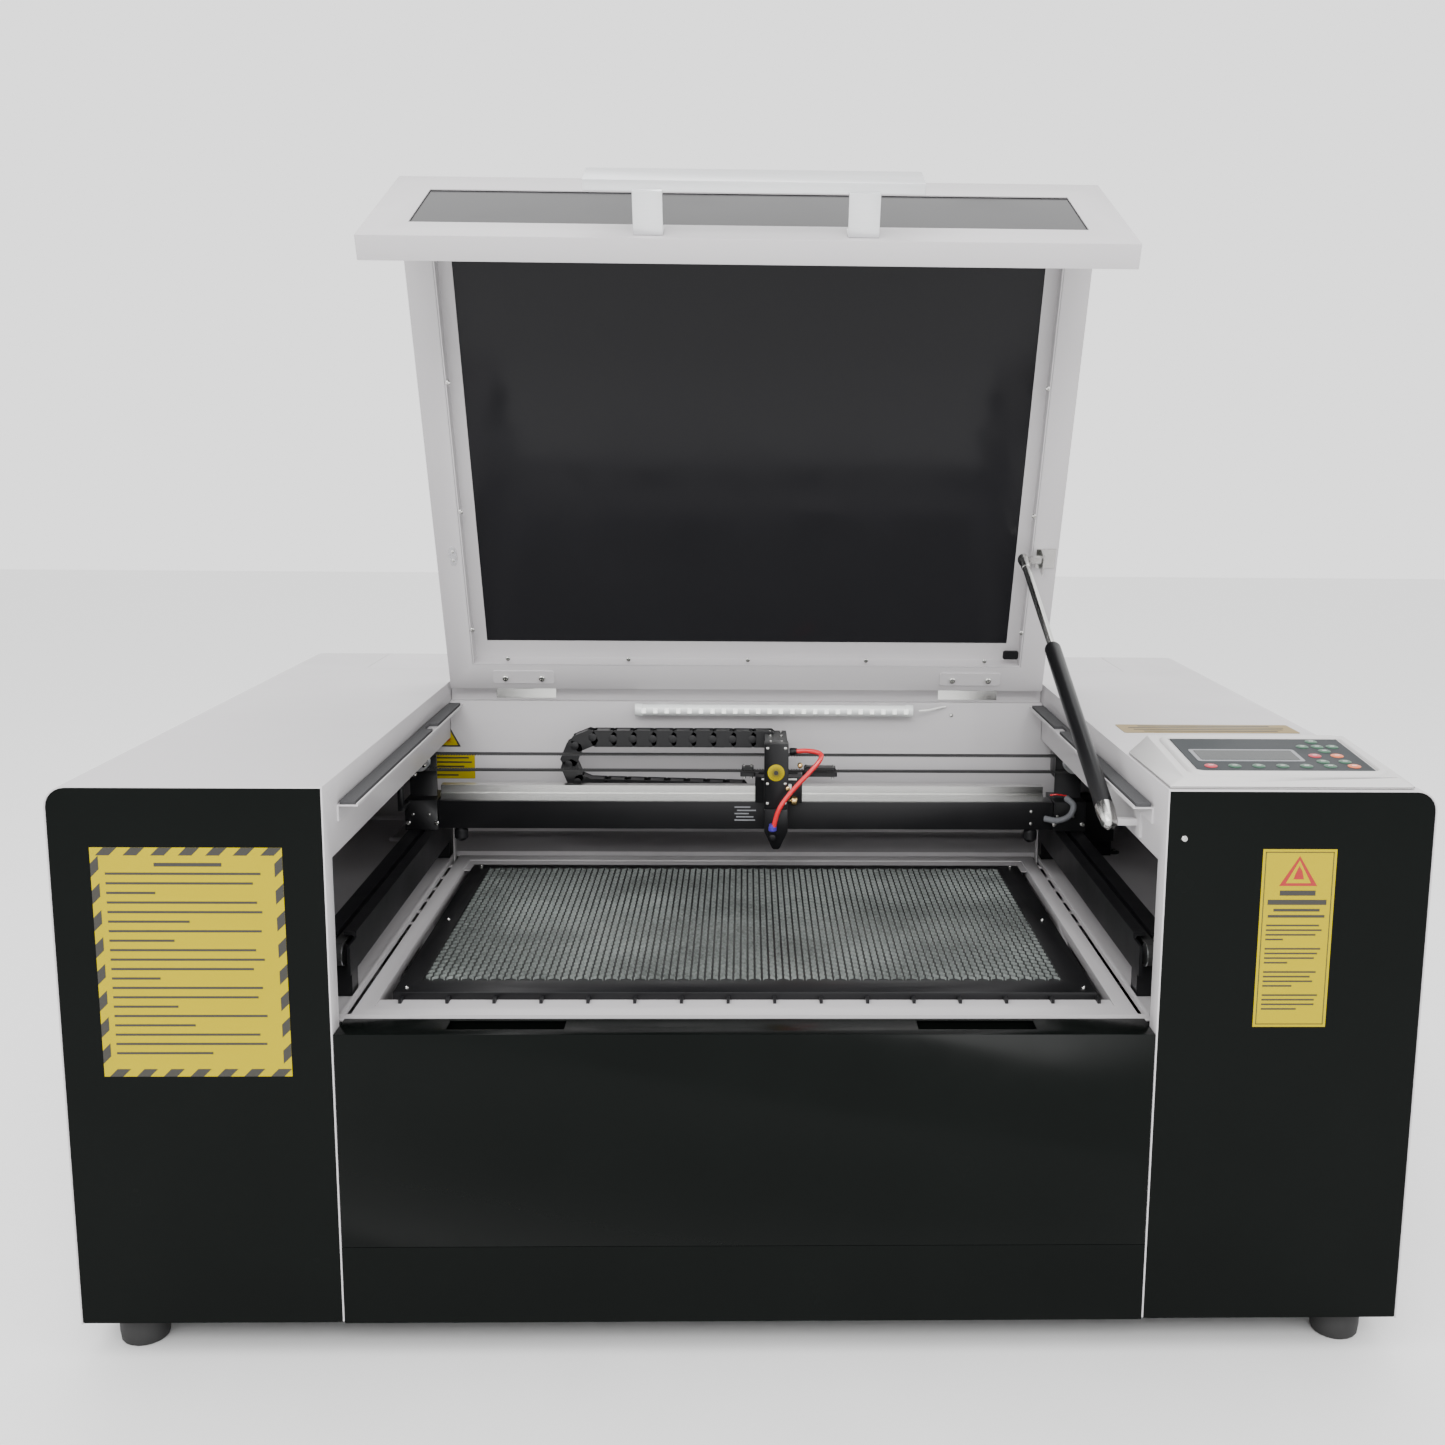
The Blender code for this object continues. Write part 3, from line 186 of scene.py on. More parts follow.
SLOTS = {
    "white_paint": WHITE, "black_gloss": GLOSS, "black_anodised": ANODISED,
    "bright_steel": STEEL, "bare_aluminium": ALUMINIUM, "dark_acrylic": ACRYLIC,
    "black_rubber": RUBBER, "black_plastic": BLACK_PLASTIC, "white_plastic": WHITE_PLASTIC,
    "keypad_film": FILM, "lamp_tube": LAMP, "laser_glass": GLASS, "hose_red": HOSE, "brass": BRASS,
}
for subpart in frame["record"]["subparts"]:
    node = frame["nodes"][subpart["node"]]
    node.data.materials.clear()
    node.data.materials.append(SLOTS[subpart["material_slot"]])


def soften(node, width=0.8, angle=32.0):
    """Rounds a CAD node's edges and shades its curves smoothly, without touching its mesh."""
    seam = node.modifiers.new("seam", "WELD")
    seam.merge_threshold = 1e-6
    edge = node.modifiers.new("edge", "BEVEL")
    edge.width = width * UNIT
    edge.segments = 2
    edge.limit_method = "ANGLE"
    edge.angle_limit = math.radians(angle)
    edge.harden_normals = True
    node.data.shade_smooth()


ROUNDED = {
    "left_cabinet_shell": 0.5, "right_cabinet_shell": 0.5, "lid_shell": 0.5, "front_door": 0.5,
    "lid_handle": 0.6, "control_housing": 2.0, "laser_head": 0.7, "gantry_beam": 0.6,
    "gantry_left_end": 0.6, "gantry_right_end": 0.6, "x_motor": 1.2, "y_motor": 1.2,
    "strut_cylinder": 0.7, "strut_rod": 0.4, "lens_tube": 0.6, "thumb_screw": 0.5,
    "foot_front_left": 1.2, "foot_front_right": 1.2, "foot_rear_left": 1.2, "foot_rear_right": 1.2,
    "honeycomb_panel": 0.5, "table_frame": 0.5, "exhaust_collar": 0.4, "power_inlet": 0.5,
    "laser_tube": 0.5, "work_lamp": 0.6, "laser_power_supply": 0.8,
}
for node_name, node_width in ROUNDED.items():
    soften(frame["nodes"][node_name], node_width)


# ---------------------------------------------------------------- mesh building

class Shape:
    """Closed bodies gathered into one mesh, each with its own material."""

    def __init__(self):
        self.points, self.faces, self.marks, self.mats = [], [], [], []

    def mark(self, mat):
        if mat not in self.mats:
            self.mats.append(mat)
        return self.mats.index(mat)

    def add(self, points, faces, mat):
        start, index = len(self.points), self.mark(mat)
        self.points += [tuple(p) for p in points]
        self.faces += [tuple(start + i for i in f) for f in faces]
        self.marks += [index] * len(faces)

    def block(self, low, high, mat, chamfer=0.0):
        """A block with cut corners along z."""
        (x0, y0, z0), (x1, y1, z1) = low, high
        c = min(chamfer, (x1 - x0) / 2.01, (y1 - y0) / 2.01)
        if c > 0:
            ring = [(x0 + c, y0), (x1 - c, y0), (x1, y0 + c), (x1, y1 - c),
                    (x1 - c, y1), (x0 + c, y1), (x0, y1 - c), (x0, y0 + c)]
        else:
            ring = [(x0, y0), (x1, y0), (x1, y1), (x0, y1)]
        self.prism([(x, y, z0) for x, y in ring], (0, 0, z1 - z0), mat)

    def prism(self, ring, rise, mat):
        """The flat ring of points pushed along rise."""
        n = len(ring)
        points = [Vector(p) for p in ring]
        area = sum((points[i].cross(points[(i + 1) % n]) for i in range(n)), Vector())
        if area.dot(Vector(rise)) < 0:
            points.reverse()
        top = [p + Vector(rise) for p in points]
        faces = [tuple(reversed(range(n))), tuple(range(n, 2 * n))]
        faces += [(i, (i + 1) % n, n + (i + 1) % n, n + i) for i in range(n)]
        self.add(points + top, faces, mat)

    def lathe(self, start, along, profile, mat, sides=20):
        """profile is (distance, radius) pairs along the axis, closed at both ends."""
        start, axis = Vector(start), Vector(along).normalized()
        side = axis.orthogonal().normalized()
        other = axis.cross(side)
        points, faces = [], []
        for distance, radius in profile:
            for k in range(sides):
                a = 2 * math.pi * k / sides
                points.append(start + axis * distance
                              + (side * math.cos(a) + other * math.sin(a)) * radius)
        for i in range(len(profile) - 1):
            for k in range(sides):
                m = (k + 1) % sides
                faces.append((i * sides + k, i * sides + m, (i + 1) * sides + m, (i + 1) * sides + k))
        last = (len(profile) - 1) * sides
        faces += [tuple(reversed(range(sides))), tuple(last + k for k in range(sides))]
        self.add(points, faces, mat)

    def screw(self, place, out, radius, mat):
        """A pan-head screw with a dished middle, standing along out."""
        h = radius * 0.7
        self.lathe(place, out, [(0, radius), (h * 0.55, radius), (h * 0.9, radius * 0.8),
                                (h, radius * 0.45), (h * 0.55, radius * 0.3)], mat, 14)

    def tube(self, path, radius, mat, sides=12, ripple=0.0):
        """A round tube along the path; ripple swells every other ring."""
        path = [Vector(p) for p in path]
        points, faces = [], []
        side = None
        for i, p in enumerate(path):
            t = (path[min(i + 1, len(path) - 1)] - path[max(i - 1, 0)]).normalized()
            side = t.orthogonal() if side is None else side - t * side.dot(t)
            side.normalize()
            other = t.cross(side)
            r = radius + (ripple if i % 2 == 0 else 0)
            for k in range(sides):
                a = 2 * math.pi * k / sides
                points.append(p + (side * math.cos(a) + other * math.sin(a)) * r)
        for i in range(len(path) - 1):
            for k in range(sides):
                m = (k + 1) % sides
                faces.append((i * sides + k, i * sides + m, (i + 1) * sides + m, (i + 1) * sides + k))
        last = (len(path) - 1) * sides
        faces += [tuple(reversed(range(sides))), tuple(last + k for k in range(sides))]
        self.add(points, faces, mat)

    def build(self, name, body, place=at, smooth=35.0):
        mesh = bpy.data.meshes.new(name)
        mesh.from_pydata([place(*p) for p in self.points], [], self.faces)
        for mat in self.mats:
            mesh.materials.append(mat)
        mesh.polygons.foreach_set("material_index", self.marks)
        mesh.update()
        mesh.shade_smooth()
        mesh.set_sharp_from_angle(angle=math.radians(smooth))
        piece = bpy.data.objects.new(name, mesh)
        bpy.context.scene.collection.objects.link(piece)
        if body:
            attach(piece, body)
        return piece


def spline(knots, steps=8):
    """A smooth path through the knots."""
    knots = [Vector(k) for k in knots]
    ends = [knots[0] * 2 - knots[1]] + knots + [knots[-1] * 2 - knots[-2]]
    path = []
    for i in range(1, len(ends) - 2):
        a, b, c, d = ends[i - 1:i + 3]
        for s in range(steps):
            t = s / steps
            path.append(((b * 2) + (c - a) * t + (a * 2 - b * 5 + c * 4 - d) * t * t
                         + (b * 3 - a - c * 3 + d) * t ** 3) / 2)
    return path + [knots[-1]]


# ---------------------------------------------------------------- the bed

MESH_X, MESH_Y = (-334.4, 328.4), (143.6, 574.4)
CELL = 7.4


def honeycomb():
    """Zigzag foil ribbons, every other one mirrored, that leave six-sided openings between them."""
    shape = Shape()
    columns = int((MESH_X[1] - MESH_X[0]) / CELL)
    pitch = (MESH_X[1] - MESH_X[0] - 0.8) / columns
    rows = 66
    length = (MESH_Y[1] - MESH_Y[0]) / rows
    low, high, foil = 316.8, 319.4, 0.36
    swing = pitch * 0.3
    for c in range(columns):
        middle = MESH_X[0] + 0.4 + pitch * (c + 0.5)
        mirror = 1 if c % 2 else -1
        points, faces = [], []
        count = 0
        for r in range(rows):
            side = swing * mirror * (1 if r % 2 else -1)
            for share in (0.2, 0.8):
                y = MESH_Y[0] + length * (r + share)
                x = middle + side
                points += [(x - foil, y, low), (x + foil, y, low),
                           (x + foil, y, high), (x - foil, y, high)]
                count += 1
        for i in range(count - 1):
            a, b = 4 * i, 4 * i + 4
            faces += [(a + 1, b + 1, b + 2, a + 2), (a + 3, b + 3, b, a),
                      (a + 2, b + 2, b + 3, a + 3), (a, b, b + 1, a + 1)]
        e = 4 * (count - 1)
        faces += [(0, 1, 2, 3), (e + 3, e + 2, e + 1, e)]
        shape.add(points, faces, MESH)
    return shape.build("honeycomb_mesh", "table", smooth=20)


honeycomb()

bed = Shape()
for y0, y1, tip in ((86.4, 105.6, (94, 105.8)), (593.4, 639.6, (593.2, 603))):
    bed.block((-370.6, y0, 308.8), (370.6, y1, 310.4), WHITE)
    for i in range(16):
        tab = -348 + 47 * i
        bed.block((tab - 1.6, tip[0], 310.4), (tab + 1.6, tip[1], 314.5),
                  BLACK_PLASTIC if y0 < 300 else WHITE)
for x, y in ((-346, 118), (-346, 350), (-346, 582), (346, 118), (346, 350), (346, 582)):
    bed.screw((x, y, 318), (0, 0, 1), 2.6, STEEL)
bed.build("bed_fittings", "table")

for hand, sign in (("left", -1), ("right", 1)):
    thread = Shape()
    turns, steps = 74, 12
    bottom, pitch = 60.0, 3.2
    path = []
    for i in range(turns * steps + 1):
        a = 2 * math.pi * i / steps
        path.append((sign * 402 + 5.2 * math.cos(a), 360 + 5.2 * math.sin(a),
                     bottom + pitch * i / steps))
    thread.tube(path, 0.75, STEEL, sides=4)
    thread.build(f"lift_thread_{hand}", f"screw_{hand}")


# ---------------------------------------------------------------- belts

def teeth(name, body, axis, run, across, levels, inward, pitch=3.33):
    """Square teeth on the inner faces of a belt's two straight runs."""
    shape = Shape()
    for level, way in zip(levels, inward):
        count = int((run[1] - run[0]) / pitch)
        for i in range(count):
            s = run[0] + pitch * (i + 0.5)
            z0, z1 = sorted((level, level + way * 1.1))
            if axis == "x":
                shape.block((s - 0.85, across[0], z0), (s + 0.85, across[1], z1), BELT)
            else:
                shape.block((across[0], s - 0.85, z0), (across[1], s + 0.85, z1), BELT)
    return shape.build(name, body)


teeth("x_belt_teeth", "gantry", "x", (-405, 395), (542.2, 551.8), (474.9, 455.1), (-1, 1))
for hand, sign in (("left", -1), ("right", 1)):
    lanes = sorted((sign * 403.2, sign * 412.8))
    teeth(f"y_belt_teeth_{hand}", "machine", "y", (108, 682), lanes, (370.6, 351.4), (-1, 1))


# ---------------------------------------------------------------- cable chain

LINK = 25.5
BEND_X, BEND_Z, BEND_R, CHAIN_Y = -196.0, 459.5, 31.6, 579.0
SAG = 0.025


def chain_link(shape, middle, along, up, length=LINK, width=22.0, height=21.5):
    """One link: two waisted side plates joined by two cross bars, with a pin boss at each joint."""
    middle, along, up = Vector(middle), Vector(along).normalized(), Vector(up).normalized()
    across = along.cross(up)

    def spot(a, w, h):
        return middle + along * a + across * w + up * h
    half = length / 2
    for side in (-1, 1):
        outer = side * width / 2
        plate = [(-half - 4, -0.24), (-half, -0.5), (half - 2, -0.5), (half + 3, -0.3),
                 (half + 3, 0.3), (half - 2, 0.5), (-half, 0.5), (-half - 4, 0.24)]
        shape.prism([spot(a, outer, h * height) for a, h in plate],
                    across * (-side * 2.0), BLACK_PLASTIC)
        shape.lathe(spot(half - 2, outer, 0), across * side, [(0, 5.2), (0.7, 5.2), (0.9, 4.4)],
                    BLACK_PLASTIC, 12)
    for h in (-0.47, 0.40):
        bar = [(-half + 3, h), (half - 6, h), (half - 6, h + 0.07), (-half + 3, h + 0.07)]
        shape.prism([spot(a, -width / 2 + 1, t * height) for a, t in bar],
                    across * (width - 2), BLACK_PLASTIC)


lower = Shape()
for i in range(8):
    x = -16 - LINK * i
    chain_link(lower, (x, CHAIN_Y, BEND_Z - BEND_R - SAG * (x - BEND_X)), (-1, 0, SAG), (0, 0, 1))
for i in range(4):
    a = math.radians(-90 - 45 * (i + 0.5))
    chain_link(lower, (BEND_X + BEND_R * math.cos(a), CHAIN_Y, BEND_Z + BEND_R * math.sin(a)),
               (math.sin(a), 0, -math.cos(a)), (-math.cos(a), 0, -math.sin(a)))
lower.tube([(6, CHAIN_Y, 421), (-190, CHAIN_Y, 426)], 4.0, BLACK_PLASTIC)
lower_chain = lower.build("chain_lower_run", "gantry")
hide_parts("cable_chain")
upper = Shape()
for i in range(9):
    chain_link(upper, (BEND_X + LINK / 2 + LINK * i, CHAIN_Y, BEND_Z + BEND_R), (1, 0, 0), (0, 0, 1))
upper_chain = upper.build("chain_upper_run", None)
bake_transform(upper_chain)


# ---------------------------------------------------------------- laser head

head = Shape()
head.lathe((35.5, 495, 463), (0, -1, 0), [(0, 10.5), (0.9, 10.5), (1.2, 10.0)], YELLOW, 32)
for i in range(16):
    a = 2 * math.pi * i / 16
    u, v = math.cos(a), math.sin(a)
    ring = [(35.5 + 3.6 * u - 0.5 * v, 493.9, 463 + 3.6 * v + 0.5 * u),
            (35.5 + 9.0 * u, 493.9, 463 + 9.0 * v),
            (35.5 + 3.6 * u + 0.5 * v, 493.9, 463 + 3.6 * v - 0.5 * u)]
    head.prism(ring, (0, -0.3, 0), INK)
head.lathe((35.5, 493.9, 463), (0, -1, 0), [(0, 3.2), (0.5, 3.2)], INK, 16)
for x, z in ((25, 494), (47, 494), (25, 449), (47, 449), (25, 424), (47, 424)):
    head.screw((x, 495, z), (0, -1, 0), 2.1, STEEL)
for x, y in ((29, 512), (43, 512), (29, 550), (43, 550), (29, 580), (43, 580)):
    head.screw((x, y, 499), (0, 0, 1), 2.0, STEEL)
head.lathe((66, 519.5, 468), (0, -1, 0), [(0, 3.4), (5, 3.4), (5.6, 2.8), (9, 2.8), (9.4, 2.2)],
           BRASS, 16)
head.block((46, 497, 438), (55, 503.5, 447), PAPER, 1.2)
head.lathe((50.5, 497, 442.5), (0, -1, 0), [(0, 2.8), (2.2, 2.8), (2.6, 2.2)], BRASS, 14)
for x, wide in ((-9, 19), (70, 44)):
    head.block((x, 539, 448.5), (x + wide, 555, 453.6), BLACK_PLASTIC, 1.5)
    head.block((x + 2, 539, 457), (x + wide - 2, 555, 460.5), BLACK_PLASTIC, 1.5)
    for dx in (5, wide - 5):
        head.lathe((x + dx, 547, 445), (0, 0, 1), [(0, 2.0), (17, 2.0), (18, 1.2)], STEEL, 12)
head.lathe((78, 541, 456), (0, -1, 0), [(0, 6.5), (5, 6.5), (6, 5.5), (6, 2.5)], BLACK_PLASTIC, 18)
head.screw((78, 535, 456), (0, -1, 0), 2.4, STEEL)
head.block((18, 517, 449), (62, 518, 451), PAPER)
head.build("head_fittings", "carriage")

HOSE_KNOTS = ((54.5, 510, 487), (63, 508, 488), (76, 502, 489.5), (90, 492, 488), (89, 484, 481),
              (77, 481, 467), (63, 480.5, 452), (51, 480, 438), (42, 480, 425), (37, 481, 414),
              (33.5, 483, 400), (31.5, 485, 392))
hose = Shape()
hose.tube(spline(HOSE_KNOTS, 10), 3.0, HOSE, sides=16)
hose_piece = hose.build("air_hose_tube", "carriage", smooth=60)
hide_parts("air_hose")
hose_ends = Shape()
hose_ends.lathe((31.5, 485, 400), (0, 0, -1), [(0, 4.4), (3, 4.6), (3.6, 5.2), (8, 5.2), (9, 4.2)],
                BLUE, 18)
hose_ends.lathe((53, 510.3, 486.9), (1, -0.2, 0.1), [(0, 4.6), (6, 4.6), (6.6, 4.0), (9, 4.0)],
                BLACK_PLASTIC, 18)
hose_ends.build("hose_fittings", "carriage")


# ---------------------------------------------------------------- gantry

ends = Shape()
for x in (391.5, 427):
    ends.screw((x, 528, 390), (0, -1, 0), 3.2, STEEL)
    ends.screw((-x, 528, 390), (0, -1, 0), 3.2, STEEL)
for x in (395, 415):
    ends.screw((x, 528, 400.6), (0, -1, 0), 2.0, STEEL)
    ends.screw((-x - 6, 528, 400.6), (0, -1, 0), 2.0, STEEL)
for z in (390, 405.8):
    ends.screw((362, 532, z), (0, -1, 0), 2.2, STEEL)
for x, z in ((-400, 469), (-412, 457)):
    ends.lathe((x, 506, z), (0, -1, 0), [(0, 2.2), (7, 2.2), (7.6, 1.6)], STEEL, 14)
for sign in (-1, 1):
    knob = sign * 363
    ends.lathe((knob, 540, 381.7), (0, 0, -1), [(0, 6), (3, 8.5), (13, 8.5), (15, 7), (17, 4.5)],
               BLACK_PLASTIC, 20)
CONDUIT_KNOTS = ((405, 526, 425), (412, 514, 418), (406, 508, 406), (392, 512, 399), (378, 522, 399))
ends.tube(spline(CONDUIT_KNOTS, 24), 3.4, GREY, sides=12, ripple=0.7)
ends.tube(spline(((385, 529, 428), (392, 524, 430), (405, 526, 428)), 8), 0.9, HOSE, sides=8)
for i, (start, span) in enumerate(((-16, 26), (-14, 22), (-16, 18), (-13, 24), (-16, 20))):
    ends.block((start, 531.4, 393 + 4.2 * i), (start + span, 531.8, 394.6 + 4.2 * i), GREY)
ends.build("gantry_fittings", "gantry")


# ---------------------------------------------------------------- lid

lid = Shape()
for y in (228, 392, 556):
    for sign in (-1, 1):
        lid.screw((sign * 351, y, 529), (0, 0, -1), 3.0, STEEL)
for x in (-309, -154, 0, 153, 307):
    lid.screw((x, 598, 529), (0, 0, -1), 3.0, STEEL)
for sign in (-1, 1):
    a, b = sorted((sign * 251, sign * 330))
    lid.block((a, 616, 527.4), (b, 634.4, 529), WHITE, 2)
    for x in (a + 16, b - 16):
        lid.screw((x, 626.5, 527.4), (0, 0, -1), 4.2, STEEL)
lid.block((330, 582, 526.5), (350, 594, 529), BLACK_PLASTIC, 2)
oval = [(-366 + 5 * math.cos(2 * math.pi * i / 24), 452 + 13 * math.sin(2 * math.pi * i / 24), 529)
        for i in range(24)]
lid.prism(oval, (0, 0, -0.8), ALUMINIUM)
for y in (446, 458):
    lid.screw((-366, y, 528.2), (0, 0, -1), 2.0, STEEL)
lid.build("lid_fittings", "lid", place=on_lid)


# ---------------------------------------------------------------- strut ends

FOOT, HEAD = Vector((362, 108.5, 497)), Vector((341, 532.5, 726.2))
strut = (HEAD - FOOT).normalized()
lower_end = Shape()
lower_end.lathe(FOOT - strut * 8, strut, [(0, 3), (2, 6.5), (7, 8.6), (14, 9.0), (22, 9.9),
                                          (30, 9.9), (31, 9.0)], STEEL, 24)
lower_end.build("strut_lower_end", "strut_barrel")
upper_end = Shape()
upper_end.lathe(HEAD + strut * 7, -strut, [(0, 3), (2, 5.5), (7, 7.0), (12, 7.0), (16, 5.6),
                                           (26, 5.6), (27, 4.9)], STEEL, 24)
upper_end.build("strut_upper_end", "strut_piston")


# ---------------------------------------------------------------- seals and lamp

seals = Shape()
for sign in (-1, 1):
    for inner_x, y0, y1 in ((374, 52, 432), (384.5, 432, 466), (374, 466, 618)):
        a, b = sorted((sign * inner_x, sign * 389))
        seals.block((a, y0, 525.3), (b, y1, 528.6), FOAM, 0.5)
seals.build("lid_seals", "machine")

lamp = Shape()
for i in range(24):
    x = -138 + 14.9 * i
    lamp.block((x, 611.2, 517), (x + 5.6, 612.4, 523), LED, 0.4)
LEAD_KNOTS = ((225, 620, 520), (238, 622, 521), (252, 628, 523), (262, 633, 524))
lamp.tube(spline(LEAD_KNOTS, 8), 1.4, PAPER, sides=8)
lamp.screw((270, 635.3, 512), (0, -1, 0), 2.6, STEEL)
lamp.build("lamp_leds", "machine")


# ---------------------------------------------------------------- labels

FRONT_Y, STICKER, PRINT = 0.25, 0.35, 0.15
RIM = 7.5


def upright(shape, x0, x1, z0, z1, y, mat, thick=STICKER):
    """A thin plate facing the front."""
    ring = [(x0, y, z0), (x1, y, z0), (x1, y, z1), (x0, y, z1)]
    shape.prism(ring, (0, -thick, 0), mat)


labels = Shape()
x0, x1, z0, z1 = -606.0, -430.0, 273.0, 496.0
upright(labels, x0, x1, z0, z1, FRONT_Y, YELLOW)


def stripes(shape, start, finish, fixed, vertical):
    """Slanted black bars along one side of a label's border."""
    span = finish - start
    count = max(2, round(span / 27))
    for i in range(count):
        a = start + span * (i + 0.2) / count
        b = a + span * 0.5 / count
        slant = min(RIM, finish - b)
        if vertical:
            ring = [(fixed, a), (fixed, b), (fixed + RIM, b + slant), (fixed + RIM, a + slant)]
        else:
            ring = [(a, fixed), (b, fixed), (b + slant, fixed + RIM), (a + slant, fixed + RIM)]
        shape.prism([(u, FRONT_Y - STICKER, v) for u, v in ring], (0, -PRINT, 0), INK)


for level in (z0, z1 - RIM):
    stripes(labels, x0, x1, level, False)
for side in (x0, x1 - RIM):
    stripes(labels, z0 + RIM, z1 - RIM, side, True)
upright(labels, -548, -486, 478, 481.5, FRONT_Y - STICKER, INK, PRINT)
LINES = (0.95, 0.9, 0.3, 0.92, 0.95, 0.5, 0.94, 0.4, 0.9, 0.95, 0.88, 0.3, 0.93, 0.9, 0.4, 0.95, 0.5,
         0.9, 0.94, 0.6)
for i, share in enumerate(LINES):
    z = 470 - 9.2 * i
    upright(labels, -593, -593 + 150 * share, z, z + 2.2, FRONT_Y - STICKER, INK, PRINT)

upright(labels, 483, 553, 322, 497, FRONT_Y, YELLOW)
for a, b, c, d in ((485.5, 550.5, 324.5, 325.3), (485.5, 550.5, 493.7, 494.5),
                   (485.5, 486.3, 324.5, 494.5), (549.7, 550.5, 324.5, 494.5)):
    upright(labels, a, b, c, d, FRONT_Y - STICKER, INK, PRINT)
for size, mat, step in ((1.0, RED, 0.15), (0.66, YELLOW, 0.25)):
    ring = [(518 - 18 * size, 0, 461.5 + 8 * (1 - size)), (518 + 18 * size, 0, 461.5 + 8 * (1 - size)),
            (518, 0, 461.5 + 31 - 12 * (1 - size) - 2)]
    labels.prism([(x, FRONT_Y - STICKER, z) for x, y, z in ring], (0, -step, 0), mat)
labels.prism([(513, FRONT_Y - 0.6, 468), (523, FRONT_Y - 0.6, 468), (521, FRONT_Y - 0.6, 476),
              (518, FRONT_Y - 0.6, 481), (515, FRONT_Y - 0.6, 474)], (0, -0.1, 0), RED)
for width, z, tall in ((34, 452, 5), (56, 443, 5), (44, 436.5, 2.6), (54, 430.5, 2.6)):
    upright(labels, 518 - width / 2, 518 + width / 2, z, z + tall, FRONT_Y - STICKER, INK, PRINT)
for i, share in enumerate((0.9, 0.95, 0.85, 0.3, 0, 0.95, 0.9, 0.85, 0.4, 0, 0.9, 0.8, 0.85, 0.5, 0,
                           0.95, 0.9, 0.9, 0.6)):
    if share:
        z = 422 - 4.6 * i
        upright(labels, 490, 490 + 56 * share, z, z + 1.6, FRONT_Y - STICKER, INK, PRINT)
labels.screw((408, 0.3, 507), (0, -1, 0), 3.0, STEEL)
labels.build("front_labels", "machine")

inner = Shape()
inner.prism([(-378, 635.2, 467), (-411, 635.2, 467), (-395, 635.2, 499)], (0, -0.4, 0), INK)
inner.prism([(-381.5, 634.8, 469), (-407.5, 634.8, 469), (-395, 634.8, 494.5)], (0, -0.2, 0), YELLOW)
for i in range(8):
    a = 2 * math.pi * i / 8
    c, s = math.cos(a), math.sin(a)
    inner.prism([(-395 + 1.2 * s, 634.6, 477 - 1.2 * c), (-395 + 6.5 * c, 634.6, 477 + 6.5 * s),
                 (-395 - 1.2 * s, 634.6, 477 + 1.2 * c)], (0, -0.15, 0), RED)
upright(inner, -416, -360, 424, 458, 635.2, YELLOW, 0.4)
for i in range(5):
    upright(inner, -412, -412 + (44, 48, 38, 46, 30)[i], 451 - 5.8 * i, 453 - 5.8 * i, 634.8, INK, 0.15)
inner.build("chamber_labels", "machine")

strip = Shape()
strip.block((418, 290, 553.6), (615, 340, 553.95), GOLD, 2)
for i, width in enumerate((150, 176, 168, 150)):
    strip.block((517 - width / 2, 329 - 10.5 * i, 553.95),
                (517 + width / 2, 332.5 - 10.5 * i, 554.1), INK)
strip.build("cabinet_strip", "machine")


# ---------------------------------------------------------------- control panel

def pad_ring(x0, x1, y0, y1, corner, height):
    """A rounded rectangle on the control panel's top."""
    ring = []
    for cx, cy, turn in ((x1 - corner, y0 + corner, -90), (x1 - corner, y1 - corner, 0),
                         (x0 + corner, y1 - corner, 90), (x0 + corner, y0 + corner, 180)):
        for i in range(6):
            a = math.radians(turn + 18 * i)
            ring.append((cx + corner * math.cos(a), cy + corner * math.sin(a), height))
    return ring


panel = Shape()
BEZEL = ((0.0, 0.9), (0.6, 2.4), (2.6, 3.9), (5.2, 4.2), (7.6, 3.4), (8.6, 2.0), (8.6, 0.9))
rings = [pad_ring(415.5 + inset, 608.5 - inset, 18.5 + inset, 150.5 - inset, 17 - inset, height)
         for inset, height in BEZEL]
corners = len(rings[0])
rim_faces = []
for r in range(len(rings)):
    s = (r + 1) % len(rings)
    for i in range(corners):
        j = (i + 1) % corners
        rim_faces.append((r * corners + i, r * corners + j, s * corners + j, s * corners + i))
panel.add([point for ring in rings for point in ring], rim_faces, WHITE_PLASTIC)
panel.build("panel_bezel", "machine", place=on_panel)

keys = Shape()
keys.prism(pad_ring(435, 540, 61, 101, 3, 2.15), (0, 0, 0.3), GREY)
keys.prism(pad_ring(439, 536, 65, 97, 1.5, 2.45), (0, 0, 0.2), SCREEN)
KEYS = [(442.6 + 23.1 * i, 45.4, mat) for i, mat in
        enumerate((KEY_RED, KEY_GREEN, KEY_GREEN, KEY_GREEN, KEY_GREEN, KEY_GREEN, KEY_ORANGE))]
KEYS += [(568, 129, KEY_GREEN), (553, 111, KEY_GREEN), (568, 111, KEY_GREEN), (583, 111, KEY_GREEN),
         (570, 96, KEY_GREEN), (555, 80, KEY_RED), (577, 80, KEY_ORANGE), (556, 60, KEY_GREEN),
         (577.5, 60, KEY_GREEN)]
for x, y, mat in KEYS:
    keys.lathe((x, y, 2.15), (0, 0, 1), [(0, 6.2), (0.35, 6.2), (0.8, 5.2), (1.0, 3.4)], mat, 20)
    keys.block((x - 2.2, y - 0.5, 3.1), (x + 2.2, y + 0.5, 3.25), PAPER)
keys.build("keypad_keys", "machine", place=on_panel)


# ---------------------------------------------------------------- small case parts

